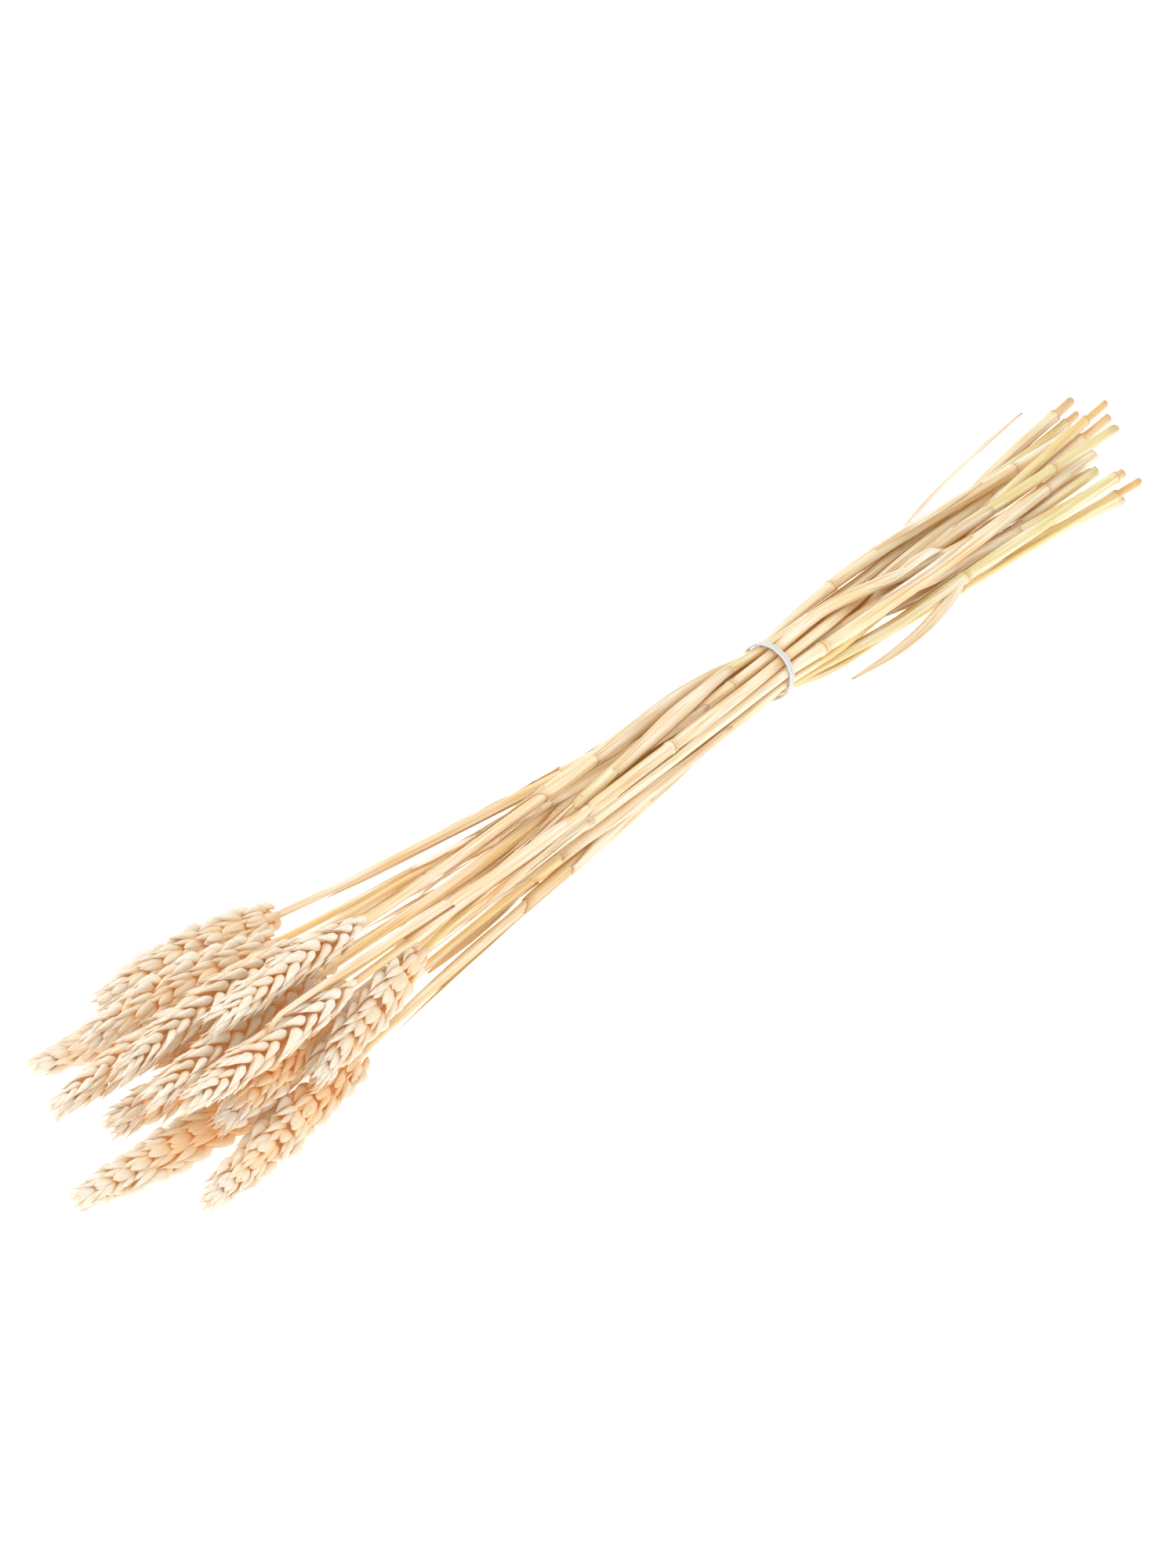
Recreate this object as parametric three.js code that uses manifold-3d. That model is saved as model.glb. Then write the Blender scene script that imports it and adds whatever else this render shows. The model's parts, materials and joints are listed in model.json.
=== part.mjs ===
// A bundle of dried wheat lying on a table: sixteen stalks gathered by one white elastic tie.
//
// Lengths are in millimetres. X runs along the bundle, from the ears at negative X to the cut ends
// at positive X, and Z points up from the table. The stalks are laid out round the tie, whose middle
// is at X = 0, and the finished group is moved so that its origin is the middle of its underside.

import * as THREE from "three";
import { mergeVertices } from "three/addons/utils/BufferGeometryUtils.js";
import Module from "manifold-3d";

const wasm = await Module();
wasm.setup();

// Driving dimensions

const GAP = 0.35;
const FOOT_GAP = 0.5;
const STEM_PRESS = 0.5;
const EAR_PRESS = 0.7;
const TABLE_SIZE = [900, 300, 50];

const BUTT_RADIUS = 2.1;
const SHEATH_RADIUS = 2.05;
const PEDUNCLE_RADIUS = 1.5;
const NECK_RADIUS = 1.15;
const TIE_SQUEEZE = 0.17;
const SQUEEZE_LENGTH = 40;
const KNOT_SWELL = 0.5;
const KNOT_HALF_LENGTH = 2.5;
const COLLAR_LENGTH = 1.5;
const COLLAR_STEP = 0.01;
const CUT_SLOPE = 0.5;
const STEM_SIDES = 6;

const EAR_RADIUS = 6.9;
const EAR_POINT = 2.5;
const EAR_FOOT_WIDTH = 0.6;
const EAR_TIP_WIDTH = 0.38;
const SPIKELET_PITCH = 6.5;

const TIE_WIDTH = 2.5;
const TIE_THICKNESS = 1.1;
const TIE_GROOVE = 0.4;
const TIE_STATIONS = 28;
const TIE_GAP = 0.45;
const TIE_HEIGHT = 11;
const TIE_REACH = 9;

const BLADE_THICKNESS = 0.8;
const BLADE_STEP = 12;
const BLADE_FUSED_LENGTH = 26;
const BLADE_ROOT_LENGTH = 4;
const BLADE_ROOT_WIDTH = 1.8;
const BLADE_WIDENING = 0.3;

const CREAM = 0xe9ddc0;
const GOLD = 0xe6cd8c;
const OLIVE = 0xd6cd9c;
const EAR_COLOUR = 0xead6bb;
const TIE_COLOUR = 0xf3f3f1;

// The stalks as they lie. Each place is [x, y, z]: the cut end (butt), the start of the ear (foot) and
// the ear's far end (tip). Roll turns the ear about its own line: at 45 its braided face looks at a
// viewer on the low-Y side, at -45 its fanned side does. Knots and collar are places along X.

const STALKS = [
  { thick: 1.05, roll: -45, knots: [160, -10], collar: -101,
    butt: [214, -21, 1.5], foot: [-227, 14, 22], tip: [-289, 32, 12] },
  { thick: 0.9, roll: -40, knots: [204, 105], collar: -131,
    butt: [220, -24, 9], foot: [-240, 17, 8], tip: [-313, 37, 7] },
  { thick: 1.15, roll: 45, knots: [127, -30], collar: -142,
    butt: [222, -2, 4], foot: [-250, -12, 36], tip: [-319, -6, 24] },
  { thick: 0.95, roll: 20, knots: [150, 6], collar: -120,
    butt: [214, -8, 12], foot: [-258, 0, 16], tip: [-328, 13, 7] },
  { thick: 1.1, roll: 45, knots: [188, 53], collar: -141,
    butt: [248, 17, 10], foot: [-240, -27, 40], tip: [-301, -22, 34] },
  { thick: 0.9, roll: 40, knots: [140, -45], collar: -110,
    butt: [252, 14, 4], foot: [-255, -20, 28], tip: [-324, -20, 24] },
  { thick: 1.0, roll: 50, knots: [170, -79], collar: -129,
    butt: [250, 22, 1.5], foot: [-256, -38, 36], tip: [-322, -32, 28] },
  { thick: 0.95, roll: -30, knots: [251, 100], collar: -130,
    butt: [263, 28, 8], foot: [-223, -33, 32], tip: [-281, -37, 14] },
  { thick: 1.1, roll: -40, knots: [245, 70], collar: -159,
    butt: [260, 29, 14], foot: [-252, -30, 8], tip: [-330, -45, 7] },
  { thick: 0.9, roll: -50, knots: [235, 47], collar: -152,
    butt: [255, 11, 20], foot: [-275, -24, 8], tip: [-350, -17, 7] },
  { thick: 1.2, roll: -60, knots: [180, 20], collar: -125,
    butt: [226, 1, 10], foot: [-250, -21, 20], tip: [-312, -33, 15] },
  { thick: 0.95, roll: 0, knots: [188, 121], collar: -149,
    butt: [234, -5, 20], foot: [-255, -6, 8], tip: [-321, -1, 7] },
  { thick: 1.0, roll: 80, knots: [155, -60], collar: -115,
    butt: [240, 8, 1.5], foot: [-240, -14, 22], tip: [-302, -17, 16] },
  { thick: 0.9, roll: -20, knots: [194, -20], collar: -135,
    butt: [207, -14, 7], foot: [-240, 2, 24], tip: [-307, 18, 16] },
  { thick: 1.05, roll: 30, knots: [229, 40], collar: -105,
    butt: [253, 8, 16], foot: [-235, -15, 8], tip: [-297, -15, 8] },
  { thick: 1.0, roll: -70, knots: [204, 105], collar: -145,
    butt: [210, -22, 16], foot: [-230, 3, 8], tip: [-292, 8, 8] },
];

// Dried leaf blades and one torn sheath still on their stalks. Root is where the blade leaves its stem.
// Each place is [x, aside, above], measured from its own stem's middle at x. A blade is lifted over the
// stalks that it would lie on, unless it is low, and then it lies beneath them as placed.
const BLADES = [
  { stalk: 7, root: -129, width: 5.4, end: 0.75, places: [[-165, -2, 0], [-200, -1, 0], [-230, 0, 0]] },
  { stalk: 3, root: -142, width: 3.2, end: 0.2, places: [[-170, -0.8, 0], [-198, 0.8, 0]] },
  { stalk: 3, root: 54, width: 5.4, end: 0.8, places: [[68, -1.5, 0], [103, 0.5, 2]] },
  { stalk: 16, root: 105, width: 5, end: 0.2, places: [[82, -5.5, -3], [52, -8, -5], [30, -7, -5]] },
  { stalk: 10, root: -152, width: 3.6, end: 0.2, low: true,
    places: [[-176, 0.4, -3.6], [-206, 0.8, -4]] },
  { stalk: 8, root: 100, width: 1.6, end: 0.6, low: true,
    places: [[112, 6, 0], [165, 10, 4.5], [228, 10, 10]] },
];

const STRAW_TINTS = [CREAM, GOLD, CREAM, OLIVE];

// Solids: closed meshes joined and cut as real bodies

function solidOf(geometry) {
  geometry.deleteAttribute("normal");
  geometry.deleteAttribute("uv");
  const merged = mergeVertices(geometry, 1e-3);
  const corners = Array.from(merged.index.array);
  const triangles = [];
  for (let start = 0; start < corners.length; start += 3) {
    const [a, b, c] = corners.slice(start, start + 3);
    if (a !== b && b !== c && c !== a) {
      triangles.push(a, b, c);
    }
  }
  return new wasm.Manifold(new wasm.Mesh({
    numProp: 3,
    vertProperties: new Float32Array(merged.attributes.position.array),
    triVerts: new Uint32Array(triangles),
  }));
}

function geometryOf(solid) {
  const mesh = solid.getMesh();
  const geometry = new THREE.BufferGeometry();
  geometry.setAttribute("position", new THREE.BufferAttribute(mesh.vertProperties, 3));
  geometry.setIndex(new THREE.BufferAttribute(mesh.triVerts, 1));
  geometry.computeVertexNormals();
  return geometry;
}

// What lies below the table's surface, which every piece is pressed against and cut flat by.
function belowTable() {
  const block = new THREE.BoxGeometry(...TABLE_SIZE);
  block.translate(0, 0, -TABLE_SIZE[2] / 2);
  return solidOf(block);
}

// Puts each point of a lathed skin where place(column, ring) says, as [x, y, z].
function reshape(lathe, ringCount, place) {
  const position = lathe.attributes.position;
  for (let index = 0; index < position.count; index += 1) {
    position.setXYZ(index, ...place(Math.floor(index / ringCount), index % ringCount));
  }
  return lathe;
}

// A skin of sides and rings, closed at a pole on each end.
function closedSkin(ringCount, sides, place) {
  const profile = [];
  for (let ring = 0; ring < ringCount; ring += 1) {
    const isPole = ring === 0 || ring === ringCount - 1;
    profile.push(new THREE.Vector2(isPole ? 0 : 1, ring));
  }
  const lathe = new THREE.LatheGeometry(profile, sides);
  return reshape(lathe, ringCount, (column, ring) => place(column % sides, ring));
}

// Laying the stalks: their lines are found at planes across the bundle, closer together at the ears

const FIRST_PLANE = -375;
const STEM_PLANES_FROM = -210;
const LAST_PLANE = 270;
const EAR_PLANE_STEP = 15;
const STEM_PLANE_STEP = 30;

function planePlaces() {
  const places = [];
  for (let x = FIRST_PLANE; x < STEM_PLANES_FROM; x += EAR_PLANE_STEP) {
    places.push(x);
  }
  for (let x = STEM_PLANES_FROM; x <= LAST_PLANE; x += STEM_PLANE_STEP) {
    places.push(x);
  }
  return places;
}

const PLANES = planePlaces();
const SLICE = 7.5;
const ROUNDS = 900;
const STIFFNESS = 0.35;
const PULL = 0.03;
const HELD_PAST_FOOT = 20;
const HELD_BEFORE_CUT = 40;
const TIE_ROOM_LENGTH = 10;

// What changes over the rounds: from its first value, by so much over all of them.
const GROWTH = { first: 0.2, change: 1.3 };
const REACH = { first: 30, change: -35 };
const EASE = { first: 1, change: -1.15 };

function between(from, to, x) {
  const share = (x - from[0]) / (to[0] - from[0]);
  return [1, 2].map((axis) => from[axis] + share * (to[axis] - from[axis]));
}

// The planes on either side of x, and how far x is from the first to the second.
function spanAt(x) {
  let first = 0;
  while (first < PLANES.length - 2 && PLANES[first + 1] < x) {
    first += 1;
  }
  return { first, share: (x - PLANES[first]) / (PLANES[first + 1] - PLANES[first]) };
}

function lineAt(stalk, x) {
  const { first, share } = spanAt(x);
  const [a, b] = [stalk.line[first], stalk.line[first + 1]];
  return [a[0] + share * (b[0] - a[0]), a[1] + share * (b[1] - a[1])];
}

// An ear widens over its first 0.3 and narrows over its last half, as a share of its radius.
function earSwell(along) {
  const widened = THREE.MathUtils.smoothstep(along, 0, 0.3);
  const narrowed = Math.max(0, (along - 0.5) / 0.5) ** 1.7;
  const nearFoot = THREE.MathUtils.lerp(EAR_FOOT_WIDTH, 1, widened);
  const nearTip = THREE.MathUtils.lerp(1, EAR_TIP_WIDTH, narrowed);
  return Math.min(nearFoot, nearTip);
}

// Above the collar the stem is bare, and below it the sheath wraps it, pressed in by the tie.
function stemRadius(stalk, x) {
  if (x < stalk.collar) {
    const share = (x - stalk.foot[0]) / (stalk.collar - stalk.foot[0]);
    return THREE.MathUtils.lerp(NECK_RADIUS, PEDUNCLE_RADIUS * stalk.thick, share);
  }
  const share = (x - stalk.collar) / (stalk.butt[0] - stalk.collar);
  const squeeze = 1 - TIE_SQUEEZE * Math.exp(-((x / SQUEEZE_LENGTH) ** 2));
  const nearKnot = stalk.knots.some((knot) => Math.abs(knot - x) < KNOT_HALF_LENGTH);
  const swell = nearKnot ? KNOT_SWELL : 0;
  return THREE.MathUtils.lerp(SHEATH_RADIUS, BUTT_RADIUS, share) * squeeze * stalk.thick + swell;
}

// How much room a stalk takes across the bundle at x.
function roomAt(stalk, x) {
  if (x >= stalk.foot[0]) {
    const knot = stalk.knots.find((place) => Math.abs(place - x) < KNOT_HALF_LENGTH + SLICE / 2);
    return stemRadius(stalk, knot ?? x);
  }
  const along = (stalk.foot[0] - x) / (stalk.foot[0] - stalk.tip[0]);
  return EAR_RADIUS * earSwell(along);
}

function floorAt(x) {
  return Math.abs(x) < TIE_ROOM_LENGTH ? TIE_THICKNESS + GAP : 0;
}

function straightLine(stalk) {
  return PLANES.map((x) => (
    x < stalk.foot[0] ? between(stalk.foot, stalk.tip, x) : between(stalk.foot, stalk.butt, x)
  ));
}

function reaches(stalk, x) {
  return x >= stalk.tip[0] - 1 && x <= stalk.butt[0] + 1;
}

// Moves a stalk's line at x by [dy, dz], shared by the planes on either side.
function nudge(stalk, x, dy, dz) {
  const { first, share } = spanAt(x);
  const weights = [1 - share, share];
  const total = weights[0] ** 2 + weights[1] ** 2;
  weights.forEach((weight, side) => {
    stalk.line[first + side][0] += (dy * weight) / total;
    stalk.line[first + side][1] += (dz * weight) / total;
  });
}

function pushApart(one, other, x, grown) {
  const a = lineAt(one, x);
  const b = lineAt(other, x);
  const away = [b[0] - a[0], b[1] - a[1]];
  const distance = Math.hypot(...away) || 1e-6;
  const wanted = grown * (roomAt(one, x) + roomAt(other, x)) + GAP;
  if (distance < wanted) {
    const push = (wanted - distance) / (2 * distance);
    nudge(one, x, -push * away[0], -push * away[1]);
    nudge(other, x, push * away[0], push * away[1]);
  }
}

function liftOffTable(stalk, x) {
  const press = x < stalk.foot[0] ? EAR_PRESS : STEM_PRESS;
  const lowest = floorAt(x) + roomAt(stalk, x) - press;
  const height = lineAt(stalk, x)[1];
  if (height < lowest) {
    nudge(stalk, x, 0, lowest - height);
  }
}

function drawIntoTie(stalk, reach) {
  const [y, z] = lineAt(stalk, 0);
  const distance = Math.hypot(y, z - TIE_HEIGHT) + roomAt(stalk, 0);
  if (distance > reach) {
    const share = (distance - reach) / (distance - roomAt(stalk, 0));
    nudge(stalk, 0, -share * y, -share * (z - TIE_HEIGHT));
  }
}

function straighten(stalk, stiffness) {
  const before = stalk.line.map((place) => [...place]);
  for (let plane = 1; plane < PLANES.length - 1; plane += 1) {
    const share = (PLANES[plane] - PLANES[plane - 1]) / (PLANES[plane + 1] - PLANES[plane - 1]);
    for (const axis of [0, 1]) {
      const middle = before[plane - 1][axis] * (1 - share) + before[plane + 1][axis] * share;
      stalk.line[plane][axis] += stiffness * (middle - before[plane][axis]);
    }
  }
}

function pullHome(stalk, home, strength) {
  stalk.line.forEach((place, plane) => {
    const isEar = PLANES[plane] < stalk.foot[0] + HELD_PAST_FOOT;
    const isButt = PLANES[plane] > stalk.butt[0] - HELD_BEFORE_CUT;
    const share = isEar || isButt ? strength : 0;
    place[0] += share * (home[plane][0] - place[0]);
    place[1] += share * (home[plane][1] - place[1]);
  });
}

// The stalks start as thin straight lines, then thicken and are drawn together, as when a bundle is tied.
function settle(stalks) {
  const homes = stalks.map(straightLine);
  stalks.forEach((stalk, index) => {
    stalk.line = homes[index].map((place) => [...place]);
  });
  for (let round = 0; round < ROUNDS; round += 1) {
    const progress = round / ROUNDS;
    const grown = Math.min(1, GROWTH.first + progress * GROWTH.change);
    const reach = Math.max(TIE_REACH, REACH.first + progress * REACH.change);
    const ease = Math.max(0, EASE.first + progress * EASE.change);
    stalks.forEach((stalk, index) => {
      pullHome(stalk, homes[index], PULL * ease);
      straighten(stalk, STIFFNESS * ease);
      if (ease > 0) {
        drawIntoTie(stalk, reach);
      }
    });
    for (let x = PLANES[0]; x <= PLANES.at(-1); x += SLICE) {
      const present = stalks.filter((stalk) => reaches(stalk, x));
      present.forEach((one, index) => {
        present.slice(index + 1).forEach((other) => pushApart(one, other, x, grown));
      });
      present.forEach((stalk) => liftOffTable(stalk, x));
    }
  }
}

// Stems

const RING_SPACE = 6;

// The rings of a stem: [x, radius], from the foot of the ear to the cut end.
function stemRings(stalk) {
  const rings = [];
  const add = (x) => rings.push([x, stemRadius(stalk, x)]);
  const taken = [stalk.foot[0], stalk.collar, ...stalk.knots, stalk.butt[0]];
  PLANES.filter((x) => x > stalk.foot[0] && x < stalk.butt[0])
    .filter((x) => !taken.some((place) => Math.abs(place - x) < RING_SPACE))
    .forEach((x) => add(x));
  stalk.knots.forEach((knot) => {
    add(knot - KNOT_HALF_LENGTH);
    add(knot);
    add(knot + KNOT_HALF_LENGTH);
  });
  add(stalk.collar - COLLAR_STEP);
  add(stalk.collar + COLLAR_LENGTH);
  add(stalk.foot[0] + FOOT_GAP);
  add(stalk.butt[0]);
  return rings.sort((a, b) => a[0] - b[0]);
}

function stemSolid(stalk) {
  const rings = stemRings(stalk);
  const ends = [rings[0], ...rings, rings.at(-1)];
  return solidOf(closedSkin(ends.length, STEM_SIDES, (column, ring) => {
    const isPole = ring === 0 || ring === ends.length - 1;
    const [x, radius] = [ends[ring][0], isPole ? 0 : ends[ring][1]];
    const turn = (column / STEM_SIDES) * 2 * Math.PI;
    const across = -radius * Math.sin(turn);
    const [y, z] = lineAt(stalk, x);
    const cut = ring >= ends.length - 2 ? CUT_SLOPE * across : 0;
    return [x + cut, y + across, z + radius * Math.cos(turn)];
  }));
}

// How high the middle of a flat blade must be at x to clear every one of these stalks beneath it.
function clearHeight(stalks, x, y, halfWidth) {
  let height = 0;
  for (const near of [x - BLADE_STEP / 2, x, x + BLADE_STEP / 2]) {
    for (const stalk of stalks.filter((candidate) => reaches(candidate, near))) {
      const [middleY, middleZ] = lineAt(stalk, near);
      const beside = Math.max(0, Math.abs(y - middleY) - halfWidth);
      const room = roomAt(stalk, near) + GAP;
      if (beside < room) {
        height = Math.max(height, middleZ + Math.sqrt(room ** 2 - beside ** 2));
      }
    }
  }
  return height + BLADE_THICKNESS / 2;
}

// A thin strip with its root sunk in its own stem.
function bladeSolid(blade, stalks) {
  const own = stalks[blade.stalk - 1];
  const others = stalks.filter((stalk) => stalk !== own);
  const line = new THREE.CatmullRomCurve3([[blade.root, 0, 0], ...blade.places].map(([x, aside, above]) => {
    const [y, z] = lineAt(own, x);
    return new THREE.Vector3(x, y + aside, z + above);
  }));
  const length = line.getLength();
  const stepCount = Math.round((length - BLADE_ROOT_LENGTH) / BLADE_STEP);
  const step = (length - BLADE_ROOT_LENGTH) / stepCount;
  const stations = [0];
  for (let index = 0; index <= stepCount; index += 1) {
    stations.push(BLADE_ROOT_LENGTH + index * step);
  }
  const heading = Math.sign(blade.places[0][0] - blade.root);
  const lastRing = stations.length + 1;
  return solidOf(closedSkin(lastRing + 1, 4, (column, ring) => {
    const distance = stations[THREE.MathUtils.clamp(ring - 1, 0, stations.length - 1)];
    const middle = line.getPointAt(distance / length);
    const widening = BLADE_ROOT_WIDTH + distance * BLADE_WIDENING;
    const narrowing = blade.width * (blade.end + 3 * (1 - distance / length));
    const half = Math.min(blade.width, widening, narrowing) / 2;
    if (distance > 0 && !blade.low) {
      const beneath = distance < BLADE_FUSED_LENGTH ? others : stalks;
      middle.z = Math.max(middle.z, clearHeight(beneath, middle.x, middle.y, half));
    }
    const isPole = ring === 0 || ring === lastRing;
    const turn = ((column + 0.5) / 4) * 2 * Math.PI;
    const across = isPole ? 0 : -heading * Math.sign(Math.sin(turn)) * half;
    const up = isPole ? 0 : Math.sign(Math.cos(turn)) * (BLADE_THICKNESS / 2);
    return [middle.x, middle.y + across, middle.z + up];
  }));
}

// Ears

// Eight columns run along an ear. Odd ones are the ridges of the four rows of florets, which lean out
// from the middle of a braided face towards their side of the ear. Even ones are the furrows between
// them: 0 and 4 part the two florets of each spikelet, 2 and 6 run down the middle of the two faces.
// The spikelets of the two sides alternate by half a pitch. Each stage is a ring: how far along the
// spikelet it lies, in pitches, its turn from the ear's side towards its face, and its radius. The
// last ridges reach 0.85 of a pitch past the last whole spikelet.
const EAR_COLUMNS = 8;
const SIDE_SHIFT = [0, 0, 0.25, 0.5, 0.5, 0.5, 0.25, 0];
const RIDGE = [
  { along: 0, turn: 66, radius: 0.48 },
  { along: 0.5, turn: 51, radius: 0.9 },
  { along: 1.35, turn: 44, radius: 1 },
];
const SIDE_FURROW = [
  { along: 0.05, turn: 0, radius: 0.5 },
  { along: 0.5, turn: 0, radius: 0.8 },
  { along: 0.9, turn: 0, radius: 0.58 },
];
const FACE_FURROW = [
  { along: 0, turn: 90, radius: 0.4 },
  { along: 0.45, turn: 90, radius: 0.5 },
  { along: 0.8, turn: 90, radius: 0.42 },
];
const COLUMN_STAGES = [SIDE_FURROW, RIDGE, FACE_FURROW, RIDGE];
const LAST_REACH = 0.85;

// Mirrors a stage's turn, which is between side and face, into the quarter that its column is in.
function quarterTurn(column, turn) {
  const mirrored = [turn, turn, turn, 180 - turn, 180 - turn, 180 + turn, 180 + turn, -turn];
  return THREE.MathUtils.degToRad(mirrored[column]);
}

function earLine(stalk) {
  const inside = PLANES.filter((x) => x > stalk.tip[0] + EAR_POINT && x < stalk.foot[0] - EAR_POINT);
  const places = [stalk.foot[0], ...inside.reverse(), stalk.tip[0]];
  return new THREE.CatmullRomCurve3(places.map((x) => new THREE.Vector3(x, ...lineAt(stalk, x))));
}

function earSolid(stalk) {
  const line = earLine(stalk);
  const length = line.getLength();
  const pitches = Math.round(length / SPIKELET_PITCH);
  const pitch = (length - EAR_POINT) / (pitches + LAST_REACH);
  const lastRing = 2 + RIDGE.length * pitches;
  const roll = THREE.MathUtils.degToRad(stalk.roll);
  return solidOf(closedSkin(lastRing + 1, EAR_COLUMNS, (column, ring) => {
    const isEnd = ring <= 1 || ring === lastRing;
    const step = isEnd ? 0 : (ring - 2) % RIDGE.length;
    const stage = COLUMN_STAGES[column % 4][step];
    const spikelet = (ring - 2 - step) / RIDGE.length;
    let along = (spikelet + SIDE_SHIFT[column] + stage.along) * pitch;
    let radius = EAR_RADIUS * earSwell(along / length) * stage.radius;
    if (isEnd) {
      along = ring === lastRing ? length : 0;
      radius = ring === 1 ? NECK_RADIUS : 0;
    }
    const turn = quarterTurn(column, stage.turn);
    const share = Math.min(along / length, 1);
    return onLine(line, share, radius * Math.cos(turn), radius * Math.sin(turn), roll);
  }));
}

// A point beside a line: its face looks up at roll 0, and turns towards low Y as the roll grows.
function onLine(line, share, wide, thick, roll) {
  const middle = line.getPointAt(share);
  const heading = line.getTangentAt(share);
  const across = new THREE.Vector3(0, 0, 1).cross(heading).normalize();
  const up = heading.clone().cross(across);
  const face = up.clone().multiplyScalar(Math.cos(roll)).addScaledVector(across, Math.sin(roll));
  const side = across.clone().multiplyScalar(Math.cos(roll)).addScaledVector(up, -Math.sin(roll));
  return middle.addScaledVector(side, wide).addScaledVector(face, thick).toArray();
}

// Tie

// How far the stems reach from the tie's middle in one direction, round their tight outline.
function stemsReach(stalks, turn) {
  let reach = Infinity;
  for (let degrees = -80; degrees <= 80; degrees += 4) {
    const lean = THREE.MathUtils.degToRad(degrees);
    const facing = [Math.cos(turn + lean), Math.sin(turn + lean)];
    const reachOf = (stalk, x) => {
      const [y, z] = lineAt(stalk, x);
      return y * facing[0] + (z - TIE_HEIGHT) * facing[1] + stemRadius(stalk, x);
    };
    const edges = [-TIE_WIDTH / 2, 0, TIE_WIDTH / 2];
    const furthest = Math.max(...stalks.flatMap((stalk) => edges.map((x) => reachOf(stalk, x))));
    reach = Math.min(reach, furthest / Math.cos(lean));
  }
  return reach;
}

// Two strands side by side, with a groove between them, laid round the stems.
function tieSolid(stalks) {
  const half = TIE_WIDTH / 2;
  const [foot, shoulder] = [half * 0.8, TIE_THICKNESS * 0.6];
  const section = [
    [0, -foot], [shoulder, -half], [TIE_THICKNESS, -half / 2],
    [TIE_THICKNESS - TIE_GROOVE, 0], [TIE_THICKNESS, half / 2], [shoulder, half], [0, foot],
  ];
  const closed = [...section, section[0]];
  const lathe = new THREE.LatheGeometry(closed.map((point) => new THREE.Vector2(...point)), TIE_STATIONS);
  return solidOf(reshape(lathe, closed.length, (column, ring) => {
    const turn = ((column % TIE_STATIONS) / TIE_STATIONS) * 2 * Math.PI;
    const [out, along] = closed[ring];
    const radius = stemsReach(stalks, turn) + TIE_GAP + out;
    return [along, radius * Math.cos(turn), TIE_HEIGHT + radius * Math.sin(turn)];
  }));
}

// Putting the bundle together

function namedMesh(name, solid, colour, roughness) {
  const material = new THREE.MeshStandardMaterial({ color: colour, roughness, metalness: 0 });
  const mesh = new THREE.Mesh(geometryOf(solid), material);
  mesh.name = name;
  return mesh;
}

function number(index) {
  return String(index + 1).padStart(2, "0");
}

function bundle(stalks) {
  const table = belowTable();
  const group = new THREE.Group();
  stalks.forEach((stalk, index) => {
    const ear = earSolid(stalk).subtract(table);
    const blades = BLADES.filter((blade) => blade.stalk === index + 1);
    const leafy = blades.reduce((body, blade) => body.add(bladeSolid(blade, stalks)), stemSolid(stalk));
    const stem = leafy.subtract(table);
    group.add(namedMesh(`ear_${number(index)}`, ear, EAR_COLOUR, 0.8));
    group.add(namedMesh(`stem_${number(index)}`, stem, STRAW_TINTS[index % STRAW_TINTS.length], 0.55));
  });
  group.add(namedMesh("tie_band", tieSolid(stalks).subtract(table), TIE_COLOUR, 0.5));
  return group;
}

settle(STALKS);
const group = bundle(STALKS);
const box = new THREE.Box3().setFromObject(group);
const middle = box.getCenter(new THREE.Vector3());
group.position.set(-middle.x, -middle.y, -box.min.z);

export default group;
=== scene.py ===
# %% [markdown]
# # A bundle of dried wheat
#
# Sixteen dried stalks lie on a pale table, gathered round the middle by a white elastic tie. The packed
# model already holds their true sizes and places as plain solids. Here each solid gets the shape and
# finish that the eye expects: scales on the ears, knots and torn sheaths on the straw, and two strands
# in the tie. Lengths are in metres, and helpers that read more easily in millimetres say so.

# %% Load the model
import json
import math
import random
from collections import defaultdict
from functools import partial

import bmesh
import bpy
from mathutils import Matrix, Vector, noise
from mathutils.bvhtree import BVHTree


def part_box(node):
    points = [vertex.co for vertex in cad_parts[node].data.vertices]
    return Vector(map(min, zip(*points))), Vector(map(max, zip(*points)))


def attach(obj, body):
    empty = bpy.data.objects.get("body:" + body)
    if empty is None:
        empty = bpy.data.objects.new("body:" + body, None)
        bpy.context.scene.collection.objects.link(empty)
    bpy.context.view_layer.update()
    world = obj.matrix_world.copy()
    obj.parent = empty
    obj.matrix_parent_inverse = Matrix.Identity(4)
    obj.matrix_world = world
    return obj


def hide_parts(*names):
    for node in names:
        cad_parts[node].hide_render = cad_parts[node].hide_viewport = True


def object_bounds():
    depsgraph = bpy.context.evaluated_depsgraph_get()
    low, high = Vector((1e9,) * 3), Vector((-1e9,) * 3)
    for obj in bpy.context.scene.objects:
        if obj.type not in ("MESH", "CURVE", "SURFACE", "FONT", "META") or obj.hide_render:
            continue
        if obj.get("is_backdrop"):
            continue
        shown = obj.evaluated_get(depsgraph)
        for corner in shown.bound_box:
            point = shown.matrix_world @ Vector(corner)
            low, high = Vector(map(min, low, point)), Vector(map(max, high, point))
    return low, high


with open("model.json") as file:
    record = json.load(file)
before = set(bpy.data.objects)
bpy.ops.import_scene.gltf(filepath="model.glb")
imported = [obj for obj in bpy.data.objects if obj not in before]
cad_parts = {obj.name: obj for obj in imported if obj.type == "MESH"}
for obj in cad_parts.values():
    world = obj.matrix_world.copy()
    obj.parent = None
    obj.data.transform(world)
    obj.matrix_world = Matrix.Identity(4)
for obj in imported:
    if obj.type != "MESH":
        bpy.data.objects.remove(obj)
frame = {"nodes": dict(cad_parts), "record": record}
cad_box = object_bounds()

MM = 0.001
STALK_COUNT = 16
print(len(frame["nodes"]), "solids in a box of", [round(side, 3) for side in cad_box[1] - cad_box[0]])

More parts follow.
